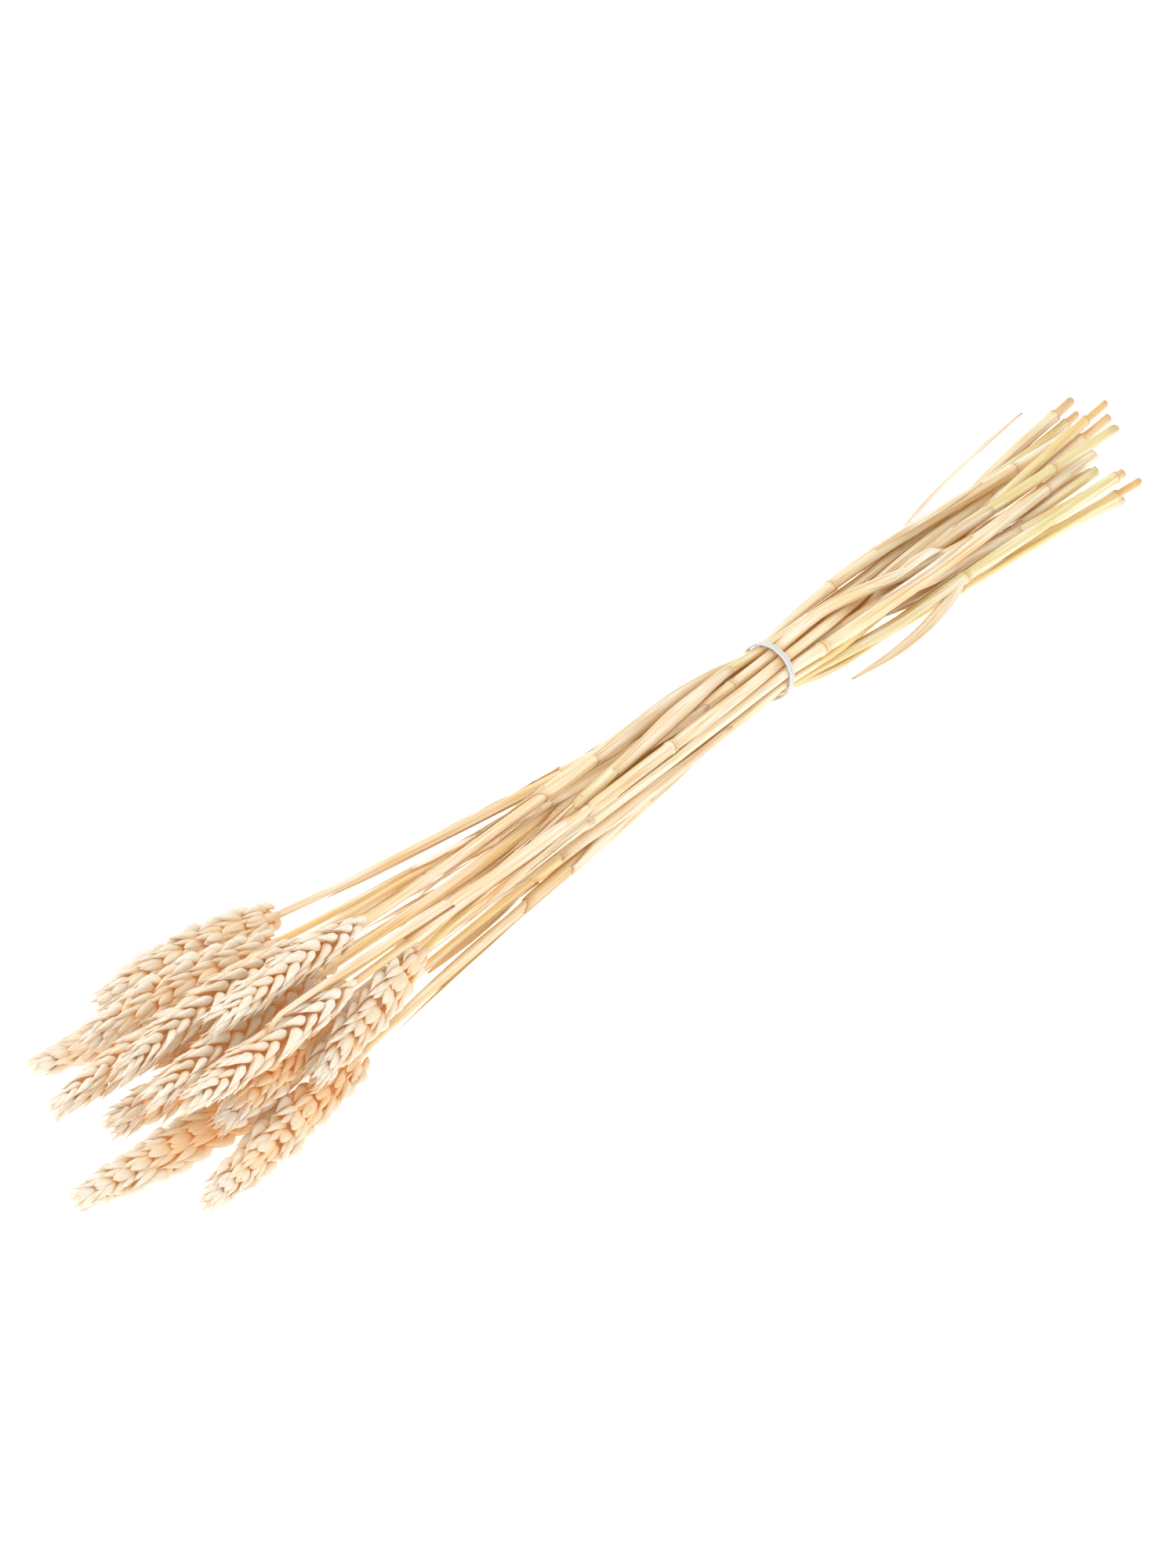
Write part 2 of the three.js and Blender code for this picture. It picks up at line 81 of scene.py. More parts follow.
# %% [markdown]
# ## What each stalk is like
#
# The solids say where a stalk runs, but not which way its ear is turned or where its knots are. This
# short table repeats those facts. The roll turns the ear about its own line, in degrees. Knots, the
# mouth of the top leaf sheath and the roots of dried leaves are places along X, in millimetres from the
# tie, with the ears on the minus side. A leaf's second number says which way along X it runs.

# %% Facts of the stalks
STALKS = [
    {"roll": -45, "knots": [160, -10], "mouth": -101},
    {"roll": -40, "knots": [204, 105], "mouth": -131},
    {"roll": 45, "knots": [127, -30], "mouth": -142},
    {"roll": 20, "knots": [150, 6], "mouth": -120},
    {"roll": 45, "knots": [188, 53], "mouth": -141},
    {"roll": 40, "knots": [140, -45], "mouth": -110},
    {"roll": 50, "knots": [170, -79], "mouth": -129},
    {"roll": -30, "knots": [251, 100], "mouth": -130},
    {"roll": -40, "knots": [245, 70], "mouth": -159},
    {"roll": -50, "knots": [235, 47], "mouth": -152},
    {"roll": -60, "knots": [180, 20], "mouth": -125},
    {"roll": 0, "knots": [188, 121], "mouth": -149},
    {"roll": 80, "knots": [155, -60], "mouth": -115},
    {"roll": -20, "knots": [194, -20], "mouth": -135},
    {"roll": 30, "knots": [229, 40], "mouth": -105},
    {"roll": -70, "knots": [204, 105], "mouth": -145},
]
LEAVES = {3: [(-142, -1), (54, 1)], 7: [(-129, -1)], 8: [(100, 1)], 10: [(-152, -1)], 16: [(105, -1)]}
tie_low, tie_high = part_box("tie_band")
TIE_MIDDLE = (tie_low + tie_high) / 2
SLOTS = {part["node"]: part["material_slot"] for part in frame["record"]["subparts"]}


def from_tie(x_mm):
    """The place along X, in the model's frame, that lies so many millimetres from the tie."""
    return TIE_MIDDLE.x + x_mm * MM


print("the tie is at", [round(value, 4) for value in TIE_MIDDLE])

# %% [markdown]
# ## The camera
#
# The photograph looks down at 30 degrees, turned 53 degrees from the bundle's own length, so that the
# ears come to the lower left. A long lens from a metre away keeps the stalks nearly parallel. The camera
# points at one spot of the table, and everything else about it follows from the two angles.

# %% Camera
LOOK_TURN = math.radians(-53)
LOOK_DOWN = math.radians(30)
LOOK_DISTANCE = 1.028
LENS_MM = 72.18
NEAREST_SEEN = 0.05
LOOK_ALONG, LOOK_ASIDE = -83, 14
LOOK_AT = Vector((from_tie(LOOK_ALONG), TIE_MIDDLE.y + LOOK_ASIDE * MM, 0))


def backwards(turn, down):
    """The direction from what is looked at to the eye."""
    flat = math.cos(down)
    return Vector((math.sin(turn) * flat, -math.cos(turn) * flat, math.sin(down)))


camera = bpy.data.objects.new("camera", bpy.data.cameras.new("camera"))
camera.data.lens = LENS_MM
camera.data.clip_start = NEAREST_SEEN
camera.location = LOOK_AT + LOOK_DISTANCE * backwards(LOOK_TURN, LOOK_DOWN)
camera.rotation_euler = (LOOK_AT - camera.location).to_track_quat("-Z", "Y").to_euler()
bpy.context.scene.collection.objects.link(camera)
bpy.context.scene.camera = camera
print("camera at", [round(value, 3) for value in camera.location])

# %% [markdown]
# ## Table and light
#
# The photograph is high key: a white table, light from all round and hardly a shadow. A pale sky lights
# every side, and one broad soft lamp from the upper left gives the scales and straws their roundness.
# The Standard view keeps whites white, where the usual filmic one would turn them grey.

# %% Table and light
FLOOR_SIZE = 6.0
SKY_COLOUR = (0.96, 0.96, 0.92, 1)
SKY_STRENGTH = 1.04
LAMP_COLOUR = (0.96, 0.98, 0.98)
LAMP_POWER = 8.5
LAMP_SIZE = 0.9
LAMP_TURN = math.radians(-110)
LAMP_DOWN = math.radians(58)
LAMP_DISTANCE = 1.6

floor_mesh = bpy.data.meshes.new("table_top")
floor_shape = bmesh.new()
bmesh.ops.create_grid(floor_shape, x_segments=1, y_segments=1, size=FLOOR_SIZE / 2)
floor_shape.to_mesh(floor_mesh)
floor_shape.free()
floor = bpy.data.objects.new("table_top", floor_mesh)
bpy.context.scene.collection.objects.link(floor)
floor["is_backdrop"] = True

sky = bpy.data.worlds.new("studio")
sky.use_nodes = True
sky.node_tree.nodes["Background"].inputs["Color"].default_value = SKY_COLOUR
sky.node_tree.nodes["Background"].inputs["Strength"].default_value = SKY_STRENGTH
bpy.context.scene.world = sky
bpy.context.scene.view_settings.view_transform = "Standard"

lamp = bpy.data.objects.new("lamp", bpy.data.lights.new("lamp", "AREA"))
lamp.data.shape = "DISK"
lamp.data.size = LAMP_SIZE
lamp.data.energy = LAMP_POWER
lamp.data.color = LAMP_COLOUR
lamp.location = LOOK_AT + LAMP_DISTANCE * backwards(LAMP_TURN, LAMP_DOWN)
lamp.rotation_euler = (LOOK_AT - lamp.location).to_track_quat("-Z", "Y").to_euler()
bpy.context.scene.collection.objects.link(lamp)
print("lamp at", [round(value, 3) for value in lamp.location])

# %% [markdown]
# ## Writing materials as sums
#
# A material is a web of nodes. Joining them by hand in code soon hides what is meant, so a value in the
# web is wrapped here in a small class. Adding, taking away or multiplying such values makes the Math
# nodes, so that a formula in Python reads as a formula.

# %% Values
class Value:
    """One number or colour in a material's web, with arithmetic."""

    def __init__(self, finish, socket):
        self.finish = finish
        self.socket = socket

    def maths(self, operation, first, second):
        return self.finish.node("ShaderNodeMath", {"operation": operation}, {0: first, 1: second})

    def __add__(self, other):
        return self.maths("ADD", self, other)

    def __sub__(self, other):
        return self.maths("SUBTRACT", self, other)

    def __rsub__(self, other):
        return self.maths("SUBTRACT", other, self)

    def __mul__(self, other):
        return self.maths("MULTIPLY", self, other)

    __radd__ = __add__
    __rmul__ = __mul__


# %% [markdown]
# ## A finish
#
# A finish holds one material. A single method makes any node from its type, its settings and what goes
# into its sockets, and the short methods below it name the few kinds of node that this bundle needs.
# Colours are mixed by Mix nodes, because a Math node would turn a colour grey. Most finishes are one
# colour with others laid over it, each by its own share, as a painter lays thin coats.

# %% Finishes
class Finish:
    """A material: its web of nodes, and the shader that the web ends in."""

    def __init__(self, name, **constants):
        self.material = bpy.data.materials.new(name)
        self.material.use_nodes = True
        self.tree = self.material.node_tree
        self.shader = self.tree.nodes["Principled BSDF"]
        for socket, value in constants.items():
            self.shader.inputs[socket.replace("_", " ")].default_value = value

    def node(self, kind, settings, inputs, output=0):
        made = self.tree.nodes.new(kind)
        for name, value in settings.items():
            if name == "stops":
                self.set_stops(made.color_ramp, value)
            else:
                setattr(made, name, value)
        for name, value in inputs.items():
            self.feed(made.inputs[name], value)
        return Value(self, made.outputs[output])

    def set_stops(self, ramp, stops):
        while len(ramp.elements) < len(stops):
            ramp.elements.new(1)
        for element, (place, colour) in zip(ramp.elements, stops):
            element.position = place
            element.color = (*colour, 1)

    def feed(self, socket, value):
        if isinstance(value, Value):
            self.tree.links.new(value.socket, socket)
        elif isinstance(value, tuple) and len(value) == 3 and socket.type == "RGBA":
            socket.default_value = (*value, 1)
        else:
            socket.default_value = value

    def blend(self, share, first, second):
        """A colour between first and second."""
        settings = {"data_type": "RGBA"}
        return self.node("ShaderNodeMix", settings, {0: share, 6: first, 7: second}, output=2)

    def layered(self, colour, *coats):
        """A colour with others laid over it, each given as its share and its colour."""
        for share, coat in coats:
            colour = self.blend(share, colour, coat)
        return colour

    def ramp(self, value, *stops):
        return self.node("ShaderNodeValToRGB", {"stops": stops}, {0: value})

    def between(self, value, low, high):
        """0 below low, 1 above high and smooth in between."""
        settings = {"interpolation_type": "SMOOTHSTEP"}
        return self.node("ShaderNodeMapRange", settings, {"Value": value, 1: low, 2: high})

    def stretched(self, place, scale):
        return self.node("ShaderNodeVectorMath", {"operation": "MULTIPLY"}, {0: place, 1: scale})

    def noise(self, place, scale, detail=3.0):
        return self.node("ShaderNodeTexNoise", {}, {"Vector": place, "Scale": scale, "Detail": detail})

    def attribute(self, name, output):
        return self.node("ShaderNodeAttribute", {"attribute_name": name}, {}, output)

    def marks(self, name):
        """The three numbers that a piece keeps at each point in one colour attribute."""
        split = self.node("ShaderNodeSeparateColor", {}, {0: self.attribute(name, "Color")})
        return [Value(self, split.socket.node.outputs[index]) for index in range(3)]

    def bump(self, height, strength, distance):
        inputs = {"Height": height, "Strength": strength, "Distance": distance}
        return self.node("ShaderNodeBump", {}, inputs)

    def finish(self, **inputs):
        for name, value in inputs.items():
            self.feed(self.shader.inputs[name.replace("_", " ")], value)
        return self.material


# %% [markdown]
# ## The table's finish
#
# Plain white, matt, with the faintest unevenness so that it isn't a single flat tone. It also glows,
# because in the photograph the table is lit until it is as white as paper, and this sky alone leaves it
# a little grey.

# %% Table finish
FLOOR_WHITE = (0.93, 0.93, 0.93)
FLOOR_WHITER = (0.95, 0.95, 0.95)
FLOOR_GLOW = 0.6
FLOOR_PATCHES = 3.0

paper = Finish(
    "white_table",
    Roughness=0.9, Specular_IOR_Level=0.1, Emission_Color=(1, 1, 1, 1), Emission_Strength=FLOOR_GLOW,
)
paper_place = paper.node("ShaderNodeTexCoord", {}, {}, "Object")
paper_tone = paper.noise(paper_place, FLOOR_PATCHES)
floor_mesh.materials.append(paper.finish(Base_Color=paper.blend(paper_tone, FLOOR_WHITE, FLOOR_WHITER)))
print("nodes in the table's finish:", len(paper.tree.nodes))

# %% [markdown]
# ## The finish of the ears
#
# Dried chaff is a pale, slightly pink cream. Its light and shade are painted into its colour: it is
# palest where a scale bulges out into the light, and it turns warm brown as painted shade where scales
# grow out from under each other, because light that enters the ear is tinted each time it meets the
# chaff. Each scale carries three facts for this at its points: how far out of the ear it is, a tone of
# its own, and how far along the scale the point is. Low ears take a little more of the warm painted
# shade than high ones. The light that passes through chaff is stood for by a small subsurface share
# and a faint painted warm glow, which is strongest deep in the ear and lifts the shade there. Fine
# veins run along each scale.

# %% Chaff
CHAFF_PALE = (0.81, 0.78, 0.73)
CHAFF_CREAM = (0.78, 0.69, 0.56)
CHAFF_WARM = (0.80, 0.57, 0.33)
CHAFF_DEEP = (0.75, 0.33, 0.11)
CHAFF_LOW, CHAFF_HIGH = 10 * MM, 32 * MM
CHAFF_GLOW = (0.85, 0.40, 0.14)
CHAFF_GLOW_STRENGTH = 0.19
NO_GLOW = (0.0, 0.0, 0.0)
VEIN_SPACING = 1 / (0.45 * MM)
BLOTCH_SPACING = 1 / (2 * MM)

chaff = Finish(
    "chaff",
    Specular_IOR_Level=0.35, Emission_Strength=CHAFF_GLOW_STRENGTH,
    Subsurface_Weight=0.12, Subsurface_Radius=(1.0, 0.45, 0.2), Subsurface_Scale=1.0 * MM,
)
outward, tone, along = chaff.marks("marks")
chaff_place = chaff.attribute("grain", "Vector")
veins = chaff.noise(chaff.stretched(chaff_place, (0.12, 1, 1)), VEIN_SPACING, 2.0)
blotches = chaff.noise(chaff.stretched(chaff_place, (0.4, 1, 1)), BLOTCH_SPACING, 3.0)
chaff_spot = chaff.node("ShaderNodeTexCoord", {}, {}, "Object")
chaff_height = chaff.node("ShaderNodeSeparateXYZ", {}, {0: chaff_spot}, "Z")
# Low ears take a little more painted shade, and a little more painted glow, than high ones.
shade_of_low_ears = chaff.between(chaff_height, CHAFF_HIGH, CHAFF_LOW)
deepness = chaff.between(outward, 0.8, 0.3)
# Painted light and shade: the deeper in the ear, the warmer and darker; palest on its outline and tip.
shade = chaff.ramp(
    outward - shade_of_low_ears * 0.05,
    (0.28, CHAFF_DEEP), (0.52, CHAFF_WARM), (0.72, CHAFF_CREAM), (0.93, CHAFF_PALE),
)
chaff_colour = chaff.layered(
    shade,
    (tone * 0.35, CHAFF_CREAM),  # some scales paler or darker than others
    # The foot of a scale is warmed as painted shade, where it is tucked under the scale before it.
    (chaff.between(along, 0.12, 0.0) * 0.7, CHAFF_WARM),  # the foot of a scale
    (chaff.between(along, 0.85, 1.0) * 0.5, CHAFF_WARM),  # its beak
    (chaff.between(veins, 0.56, 0.38) * 0.5, CHAFF_WARM),
    (chaff.between(blotches, 0.52, 0.75) * 0.35, CHAFF_WARM),
)
chaff.finish(
    Base_Color=chaff_colour,
    # A faint painted glow, strongest deep in the ear and on low ears, lifts the shade there.
    Emission_Color=chaff.blend(0.2 + deepness * 0.7 + shade_of_low_ears * 0.1, NO_GLOW, CHAFF_GLOW),
    Roughness=0.52 + veins * 0.2,
    Normal=chaff.bump(veins, 0.6, 0.15 * MM),
)
print("nodes in the chaff:", len(chaff.tree.nodes))

# %% [markdown]
# ## The finish of the straw
#
# Straw has a smooth skin with fine lines along it and a light satin coat. Some stalks bleached to cream,
# some stayed golden and some olive. Each varies along its length, has pale streaks, and turns warmer
# towards the ears. Three facts at each point say how much brown it takes, from its knots and torn edges
# and, as painted shade, from crevices and the hollow of its cut end; how much of a stub it is; and the
# tone of its straw. The lines are noise stretched along the straw in its own measures, so they follow its
# bends. A very faint painted glow stands for the light that dry straw lets through. The dried leaf has
# the same finish in paler colours.

# %% Straw
STRAW_TONES = {
    "cream_straw": ((0.82, 0.76, 0.58), (0.79, 0.62, 0.35)),
    "golden_straw": ((0.81, 0.70, 0.36), (0.78, 0.57, 0.21)),
    "olive_straw": ((0.74, 0.69, 0.38), (0.66, 0.57, 0.24)),
}
LEAF_TONES = ((0.83, 0.75, 0.61), (0.79, 0.64, 0.44))
STRAW_BLEACHED = (0.87, 0.86, 0.80)
STRAW_WARM = (0.88, 0.57, 0.26)
STRAW_LINE = (0.62, 0.34, 0.10)
STRAW_GLOW = (0.92, 0.42, 0.06, 1)
STRAW_GLOW_STRENGTH = 0.065
KNOT_AND_SHADE_BROWN = (0.56, 0.29, 0.09)
STUB_BROWN = (0.70, 0.38, 0.10)
FINE_LINES = 1 / (0.25 * MM)
BROAD_LINES = 1 / (0.9 * MM)
STREAKS = 1 / (2.2 * MM)
DRIFTS = 1 / (14 * MM)
WARM_FROM, WARM_TO = from_tie(-60), from_tie(-190)


def straw_finish(name, light, dark):
    straw = Finish(
        name,
        Specular_IOR_Level=0.6, Coat_Weight=0.3, Coat_Roughness=0.35,
        # A faint painted glow that lifts the straw's shade.
        Emission_Color=STRAW_GLOW, Emission_Strength=STRAW_GLOW_STRENGTH,
    )
    place = straw.attribute("grain", "Vector")
    spot = straw.node("ShaderNodeTexCoord", {}, {}, "Object")
    along = straw.node("ShaderNodeSeparateXYZ", {}, {0: spot}, "X")
    knot, stub, tone = straw.marks("marks")
    fine = straw.noise(straw.stretched(place, (0.01, 1, 1)), FINE_LINES, 2.0)
    broad = straw.noise(straw.stretched(place, (0.015, 1, 1)), BROAD_LINES, 3.0)
    streaks = straw.noise(straw.stretched(place, (0.04, 1, 1)), STREAKS, 3.0)
    drifts = straw.noise(straw.stretched(place, (0.25, 1, 1)), DRIFTS, 2.0)
    colour = straw.layered(
        straw.blend(straw.between(drifts, 0.35, 0.65), light, dark),
        (straw.between(along, WARM_FROM, WARM_TO) * 0.45, STRAW_WARM),  # near the ears
        (straw.between(streaks, 0.46, 0.61) * 0.85, STRAW_BLEACHED),
        (tone * 0.35, dark),  # some straws darker than others
        (straw.between(broad, 0.46, 0.32) * 0.7, STRAW_LINE),
        (straw.between(fine, 0.5, 0.34) * 0.45, STRAW_LINE),
        (stub * (0.4 + 0.5 * tone), STUB_BROWN),
        # The brown of knots and torn edges, and painted shade in crevices and in the cut hollow.
        (knot, KNOT_AND_SHADE_BROWN),
    )
    return straw.finish(
        Base_Color=colour,
        Roughness=0.6 - fine * 0.22,
        Normal=straw.bump(fine + 2 * broad, 0.6, 0.12 * MM),
    )


STRAWS = {name: straw_finish(name, *tones) for name, tones in STRAW_TONES.items()}
leaf_finish = straw_finish("dried_leaf", *LEAF_TONES)
print("straw finishes:", ", ".join(STRAWS))

# %% [markdown]
# ## The finish of the tie
#
# White elastic, a little glossy, with the fine ribs of its woven cover round each strand.

# %% Elastic
ELASTIC_WHITE = (0.68, 0.69, 0.73)
ELASTIC_GREY = (0.56, 0.57, 0.61)
RIB_SPACING = 1 / (0.5 * MM)

elastic = Finish("white_elastic", Specular_IOR_Level=0.5)
elastic_place = elastic.attribute("grain", "Vector")
ribs = elastic.noise(elastic.stretched(elastic_place, (1, 0.3, 0.3)), RIB_SPACING, 1.0)
elastic.finish(
    Base_Color=elastic.blend(elastic.between(ribs, 0.55, 0.3) * 0.3, ELASTIC_WHITE, ELASTIC_GREY),
    Roughness=0.4 + ribs * 0.2,
    Normal=elastic.bump(ribs, 0.15, 0.1 * MM),
)
print("nodes in the elastic:", len(elastic.tree.nodes))

# %% [markdown]
# ## Reading the solids
#
# Each stem's solid is a row of six-cornered rings, and a leaf on it is a row of four-cornered ones. The
# corners of a ring share one place along X, so gathering corners by that place finds the rings again.
# The highest corner of a six-cornered ring is right above its middle. The pairs of corners at the edges
# of a leaf stand exactly one leaf's thickness above each other, and that tells the two kinds apart.

# %% Rings of a stem
SIX_SIDED_WIDTH = math.sqrt(3)
FEWEST_CORNERS = 5
CUT_REACH = 3.2 * MM
LEAF_SOLID_THICKNESS = 0.8 * MM
NEAR = 0.02 * MM


def corners_by_place(node):
    corners = {tuple(round(value, 6) for value in v.co) for v in frame["nodes"][node].data.vertices}
    places = defaultdict(list)
    for corner in corners:
        places[round(corner[0], 5)].append(Vector(corner))
    return places


def ring_of(corners):
    """Middle and radius of a six-cornered ring, which may be slanted, or cut flat below."""
    left = min(corner.y for corner in corners)
    right = max(corner.y for corner in corners)
    top = max(corner.z for corner in corners)
    radius = (right - left) / SIX_SIDED_WIDTH
    x = sum(corner.x for corner in corners) / len(corners)
    return Vector((x, (left + right) / 2, top - radius)), radius


def is_ring(corners):
    top = max(corners, key=lambda corner: corner.z)
    return len(corners) >= FEWEST_CORNERS and abs(top.y - ring_of(corners)[0].y) < NEAR


def stem_line(node):
    """Middles and radii along a stem, from the ear's foot to the cut end."""
    places = corners_by_place(node)
    end = max(places) - CUT_REACH
    cut = [corner for x, corners in places.items() if x > end for corner in corners]
    rings = [ring_of(corners) for corners in places.values() if is_ring(corners)]
    rings = [ring for ring in rings if ring[0].x < end]
    return sorted([*rings, ring_of(cut)], key=lambda ring: ring[0].x)


def leaf_rings(node):
    """Middles and half widths of the leaves on a stem."""
    rings = []
    for corners in corners_by_place(node).values():
        edges = []
        for low in corners:
            for high in corners:
                is_above = abs(low.y - high.y) < NEAR
                if is_above and abs(high.z - low.z - LEAF_SOLID_THICKNESS) < NEAR:
                    edges.append((low + high) / 2)
        if len(edges) == 2:
            rings.append(((edges[0] + edges[1]) / 2, abs(edges[0].y - edges[1].y) / 2))
    return sorted(rings, key=lambda ring: ring[0].x)


stem_lines = [stem_line(f"stem_{number:02d}") for number in range(1, STALK_COUNT + 1)]
print("rings per stem:", [len(line) for line in stem_lines])

# %% [markdown]
# ## Between the rings
#
# The solids have a ring every few centimetres, but a real straw bends without corners. Between two rings
# the middle therefore follows a cubic curve, whose slope at each ring is taken from the rings on either
# side of it. Later cells ask this curve where a straw is at a place along X, and which way it heads.

# %% Between the rings
def on_line(line, x):
    """The middle and radius of a stem at x, on a smooth curve through its rings."""
    index = max([0] + [i for i in range(len(line) - 1) if line[i][0].x <= x])
    first, last = max(0, index - 1), min(len(line) - 1, index + 2)
    before, after = line[first][0], line[last][0]
    (start, start_radius), (end, end_radius) = line[index], line[index + 1]
    span = end.x - start.x
    share = (x - start.x) / span
    slope_in = (end - before) / (end.x - before.x)
    slope_out = (after - start) / (after.x - start.x)
    squared, cubed = share**2, share**3
    middle = (
        start * (2 * cubed - 3 * squared + 1)
        + slope_in * (span * (cubed - 2 * squared + share))
        + end * (3 * squared - 2 * cubed)
        + slope_out * (span * (cubed - squared))
    )
    middle.x = x
    return middle, start_radius + (end_radius - start_radius) * min(max(share, 0), 1)


def heading_at(line, x):
    step = 0.5 * MM
    return (on_line(line, x + step)[0] - on_line(line, x - step)[0]).normalized()


def across_and_up(heading):
    """The level direction across a heading, and the one square to both that points up."""
    across = Vector((0, 0, 1)).cross(heading).normalized()
    return across, heading.cross(across)


print("radius of straw 1 at the tie:", round(on_line(stem_lines[0], TIE_MIDDLE.x)[1] / MM, 2), "mm")

# %% [markdown]
# ## Drawing a tube
#
# Straw, the tie's strands and the core of an ear are all tubes of changing width. A tube starts as one
# circle. Extruding its edges gives the next ring, and each corner of that ring is put where the tube
# wants it. A corner keeps the number of its column, so that knots and torn edges can differ round the
# tube. Two facts are stored on the way for the finish: the place in the straightened tube, and the marks.

# %% Tube
def settle_ring(verts, layers, sides, place):
    """Puts the corners of a ring in their places, and gives back the edges between them."""
    for vert in verts:
        turn = 2 * math.pi * vert[layers["column"]] / sides
        vert.co, vert[layers["grain"]], vert[layers["marks"]] = place(turn)
    ring = set(verts)
    edges = dict.fromkeys(edge for vert in verts for edge in vert.link_edges)
    return [edge for edge in edges if set(edge.verts) <= ring]


def add_tube(shape, layers, sides, places, capped=True):
    """A tube of rings. Each ring's place(turn) gives a corner's point, grain and marks."""
    verts = bmesh.ops.create_circle(shape, cap_ends=False, segments=sides, radius=1)["verts"]
    for index, vert in enumerate(verts):
        vert[layers["column"]] = index
    edges = settle_ring(verts, layers, sides, places[0])
    if capped:
        bmesh.ops.contextual_create(shape, geom=edges)
    for place in places[1:]:
        made = bmesh.ops.extrude_edge_only(shape, edges=edges)["geom"]
        verts = [item for item in made if isinstance(item, bmesh.types.BMVert)]
        edges = settle_ring(verts, layers, sides, place)
    if capped:
        bmesh.ops.contextual_create(shape, geom=edges)


# %% [markdown]
# ## From a shape to a piece
#
# A new shape is an empty bmesh with the layers that the finishes read. At the end its faces are turned
# outwards. Blender makes the faces of one closed shell agree, but on a thin bent shell it can guess the
# wrong side. The volume inside a shell tells: it is negative if the faces point inwards. The finished
# object stays at the origin and takes the place of its solid.

# %% Shapes and pieces
def new_shape():
    shape = bmesh.new()
    layers = {
        "grain": shape.verts.layers.float_vector.new("grain"),
        "marks": shape.verts.layers.float_color.new("marks"),
        "column": shape.verts.layers.int.new("column"),
    }
    return shape, layers


def shells_of(shape):
    """The separate closed shells of a shape, each as a list of its faces."""
    waiting = set(shape.faces)
    while waiting:
        shell = [waiting.pop()]
        for face in shell:
            beside = {other for edge in face.edges for other in edge.link_faces} & waiting
            waiting -= beside
            shell += beside
        yield shell


def face_outwards(shape):
    shape.normal_update()
    bmesh.ops.recalc_face_normals(shape, faces=shape.faces)
    shape.normal_update()
    for shell in shells_of(shape):
        volume = sum(face.normal.dot(face.calc_center_median()) * face.calc_area() for face in shell)
        if volume < 0:
            bmesh.ops.reverse_faces(shape, faces=shell)


def finish_piece(name, shape, materials):
    """Turns a shape's faces outwards, smooths them and links an object of that name."""
    face_outwards(shape)
    for face in shape.faces:
        face.smooth = True
    mesh = bpy.data.meshes.new(name)
    shape.to_mesh(mesh)
    shape.free()
    for material in materials:
        mesh.materials.append(material)
    piece = bpy.data.objects.new(name, mesh)
    bpy.context.scene.collection.objects.link(piece)
    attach(piece, "root")
    return piece


# %% [markdown]
# ## One scale of an ear
#
# Everything that shows on an ear is a scale: a small boat, fat and round at its foot and drawn out to a
# beak at its tip. A sphere has the right faces for something that is repeated a few thousand times. So a
# coarse one is stretched along X, with its rings crowded towards the foot, where the scale is roundest.
# The inside is flattened and a faint keel runs along the back. How the scale narrows is left open until
# it is placed, because the outer scales have a slim tail and the inner ones a broad one.

# %% Scale
SCALE_SIDES = 8
SCALE_RINGS = 9
SCALE_CROWDING = 1.5
SCALE_CREST = 0.27
SCALE_INSIDE = 0.35
SCALE_KEEL = 0.10


def scale_width(share, slim):
    """Half width of a scale at a share of its length, as a part of its greatest half width."""
    if share < SCALE_CREST:
        return math.sqrt(1 - (1 - share / SCALE_CREST) ** 2)
    past = (share - SCALE_CREST) / (1 - SCALE_CREST)
    return (1 - past**1.4) ** slim


def scale_shape():
    """A scale one long and one wide all along, its foot at the origin and its back towards Z."""
    shape = bmesh.new()
    bmesh.ops.create_uvsphere(shape, u_segments=SCALE_SIDES, v_segments=SCALE_RINGS, radius=1)
    for vert in shape.verts:
        share = min(max((1 - vert.co.z) / 2, 0), 1) ** SCALE_CROWDING
        turn = math.atan2(vert.co.y, vert.co.x)
        above = math.cos(turn)
        keel = SCALE_KEEL * max(0, above) ** 6
        vert.co = Vector((share, math.sin(turn), above * (1 if above > 0 else SCALE_INSIDE) + keel))
    mesh = bpy.data.meshes.new("scale_shape")
    shape.to_mesh(mesh)
    shape.free()
    return mesh


SCALE = scale_shape()
print("a scale has", len(SCALE.polygons), "faces")

# %% [markdown]
# ## Where the scales of an ear sit
#
# Down both sides of an ear grow small clusters, left and right in turn. A cluster opens like a fan: two
# plump outer scales, two longer ones whose tips lean out beyond them, and smaller ones in the middle.
# Seen on its face, an ear shows the outer scales of both sides as a braid. Seen on its side, it shows
# the fans. So every ear is made the same way, and its roll decides which of the two shows.
#
# Every scale is given as two points, its foot and its tip, in the ear's own measures: along it, out to
# the side and out to the face. The turn says where its back faces, from the side (0) to the face (90).
# The size says how many millimetres wide, thick and long in the beak it is, and how slim its tail is.

# %% Cluster of scales
CLUSTER = [
    {"foot": (1.0, 1.9, 0.2), "tip": (9.4, 4.9, 0.5), "turn": 4, "size": (4.2, 1.0, 0.5, 0.5)},
    {"foot": (2.2, 1.5, 0.8), "tip": (11.4, 4.3, 2.6), "turn": 16, "size": (2.9, 1.2, 2.4, 0.75)},
    {"foot": (0.6, 1.1, 1.3), "tip": (10.8, 4.1, 4.3), "turn": 30, "size": (3.1, 1.7, 2.6, 0.9)},
    {"foot": (-0.9, -0.1, 2.9), "tip": (8.6, 3.1, 4.5), "turn": 74, "size": (2.9, 2.5, 0.8, 1.4)},
]
EAR_RADIUS = 6.9
CLUSTER_PITCH = 8.2
CLOSER_AT_TIP = 0.35
EAR_POINT = 2.5
LAST_REACH = 0.85
FOOT_WIDTH = 0.6
TIP_WIDTH = 0.38
PALE_TIP = 14
PALE_TIP_SHARE = 0.6
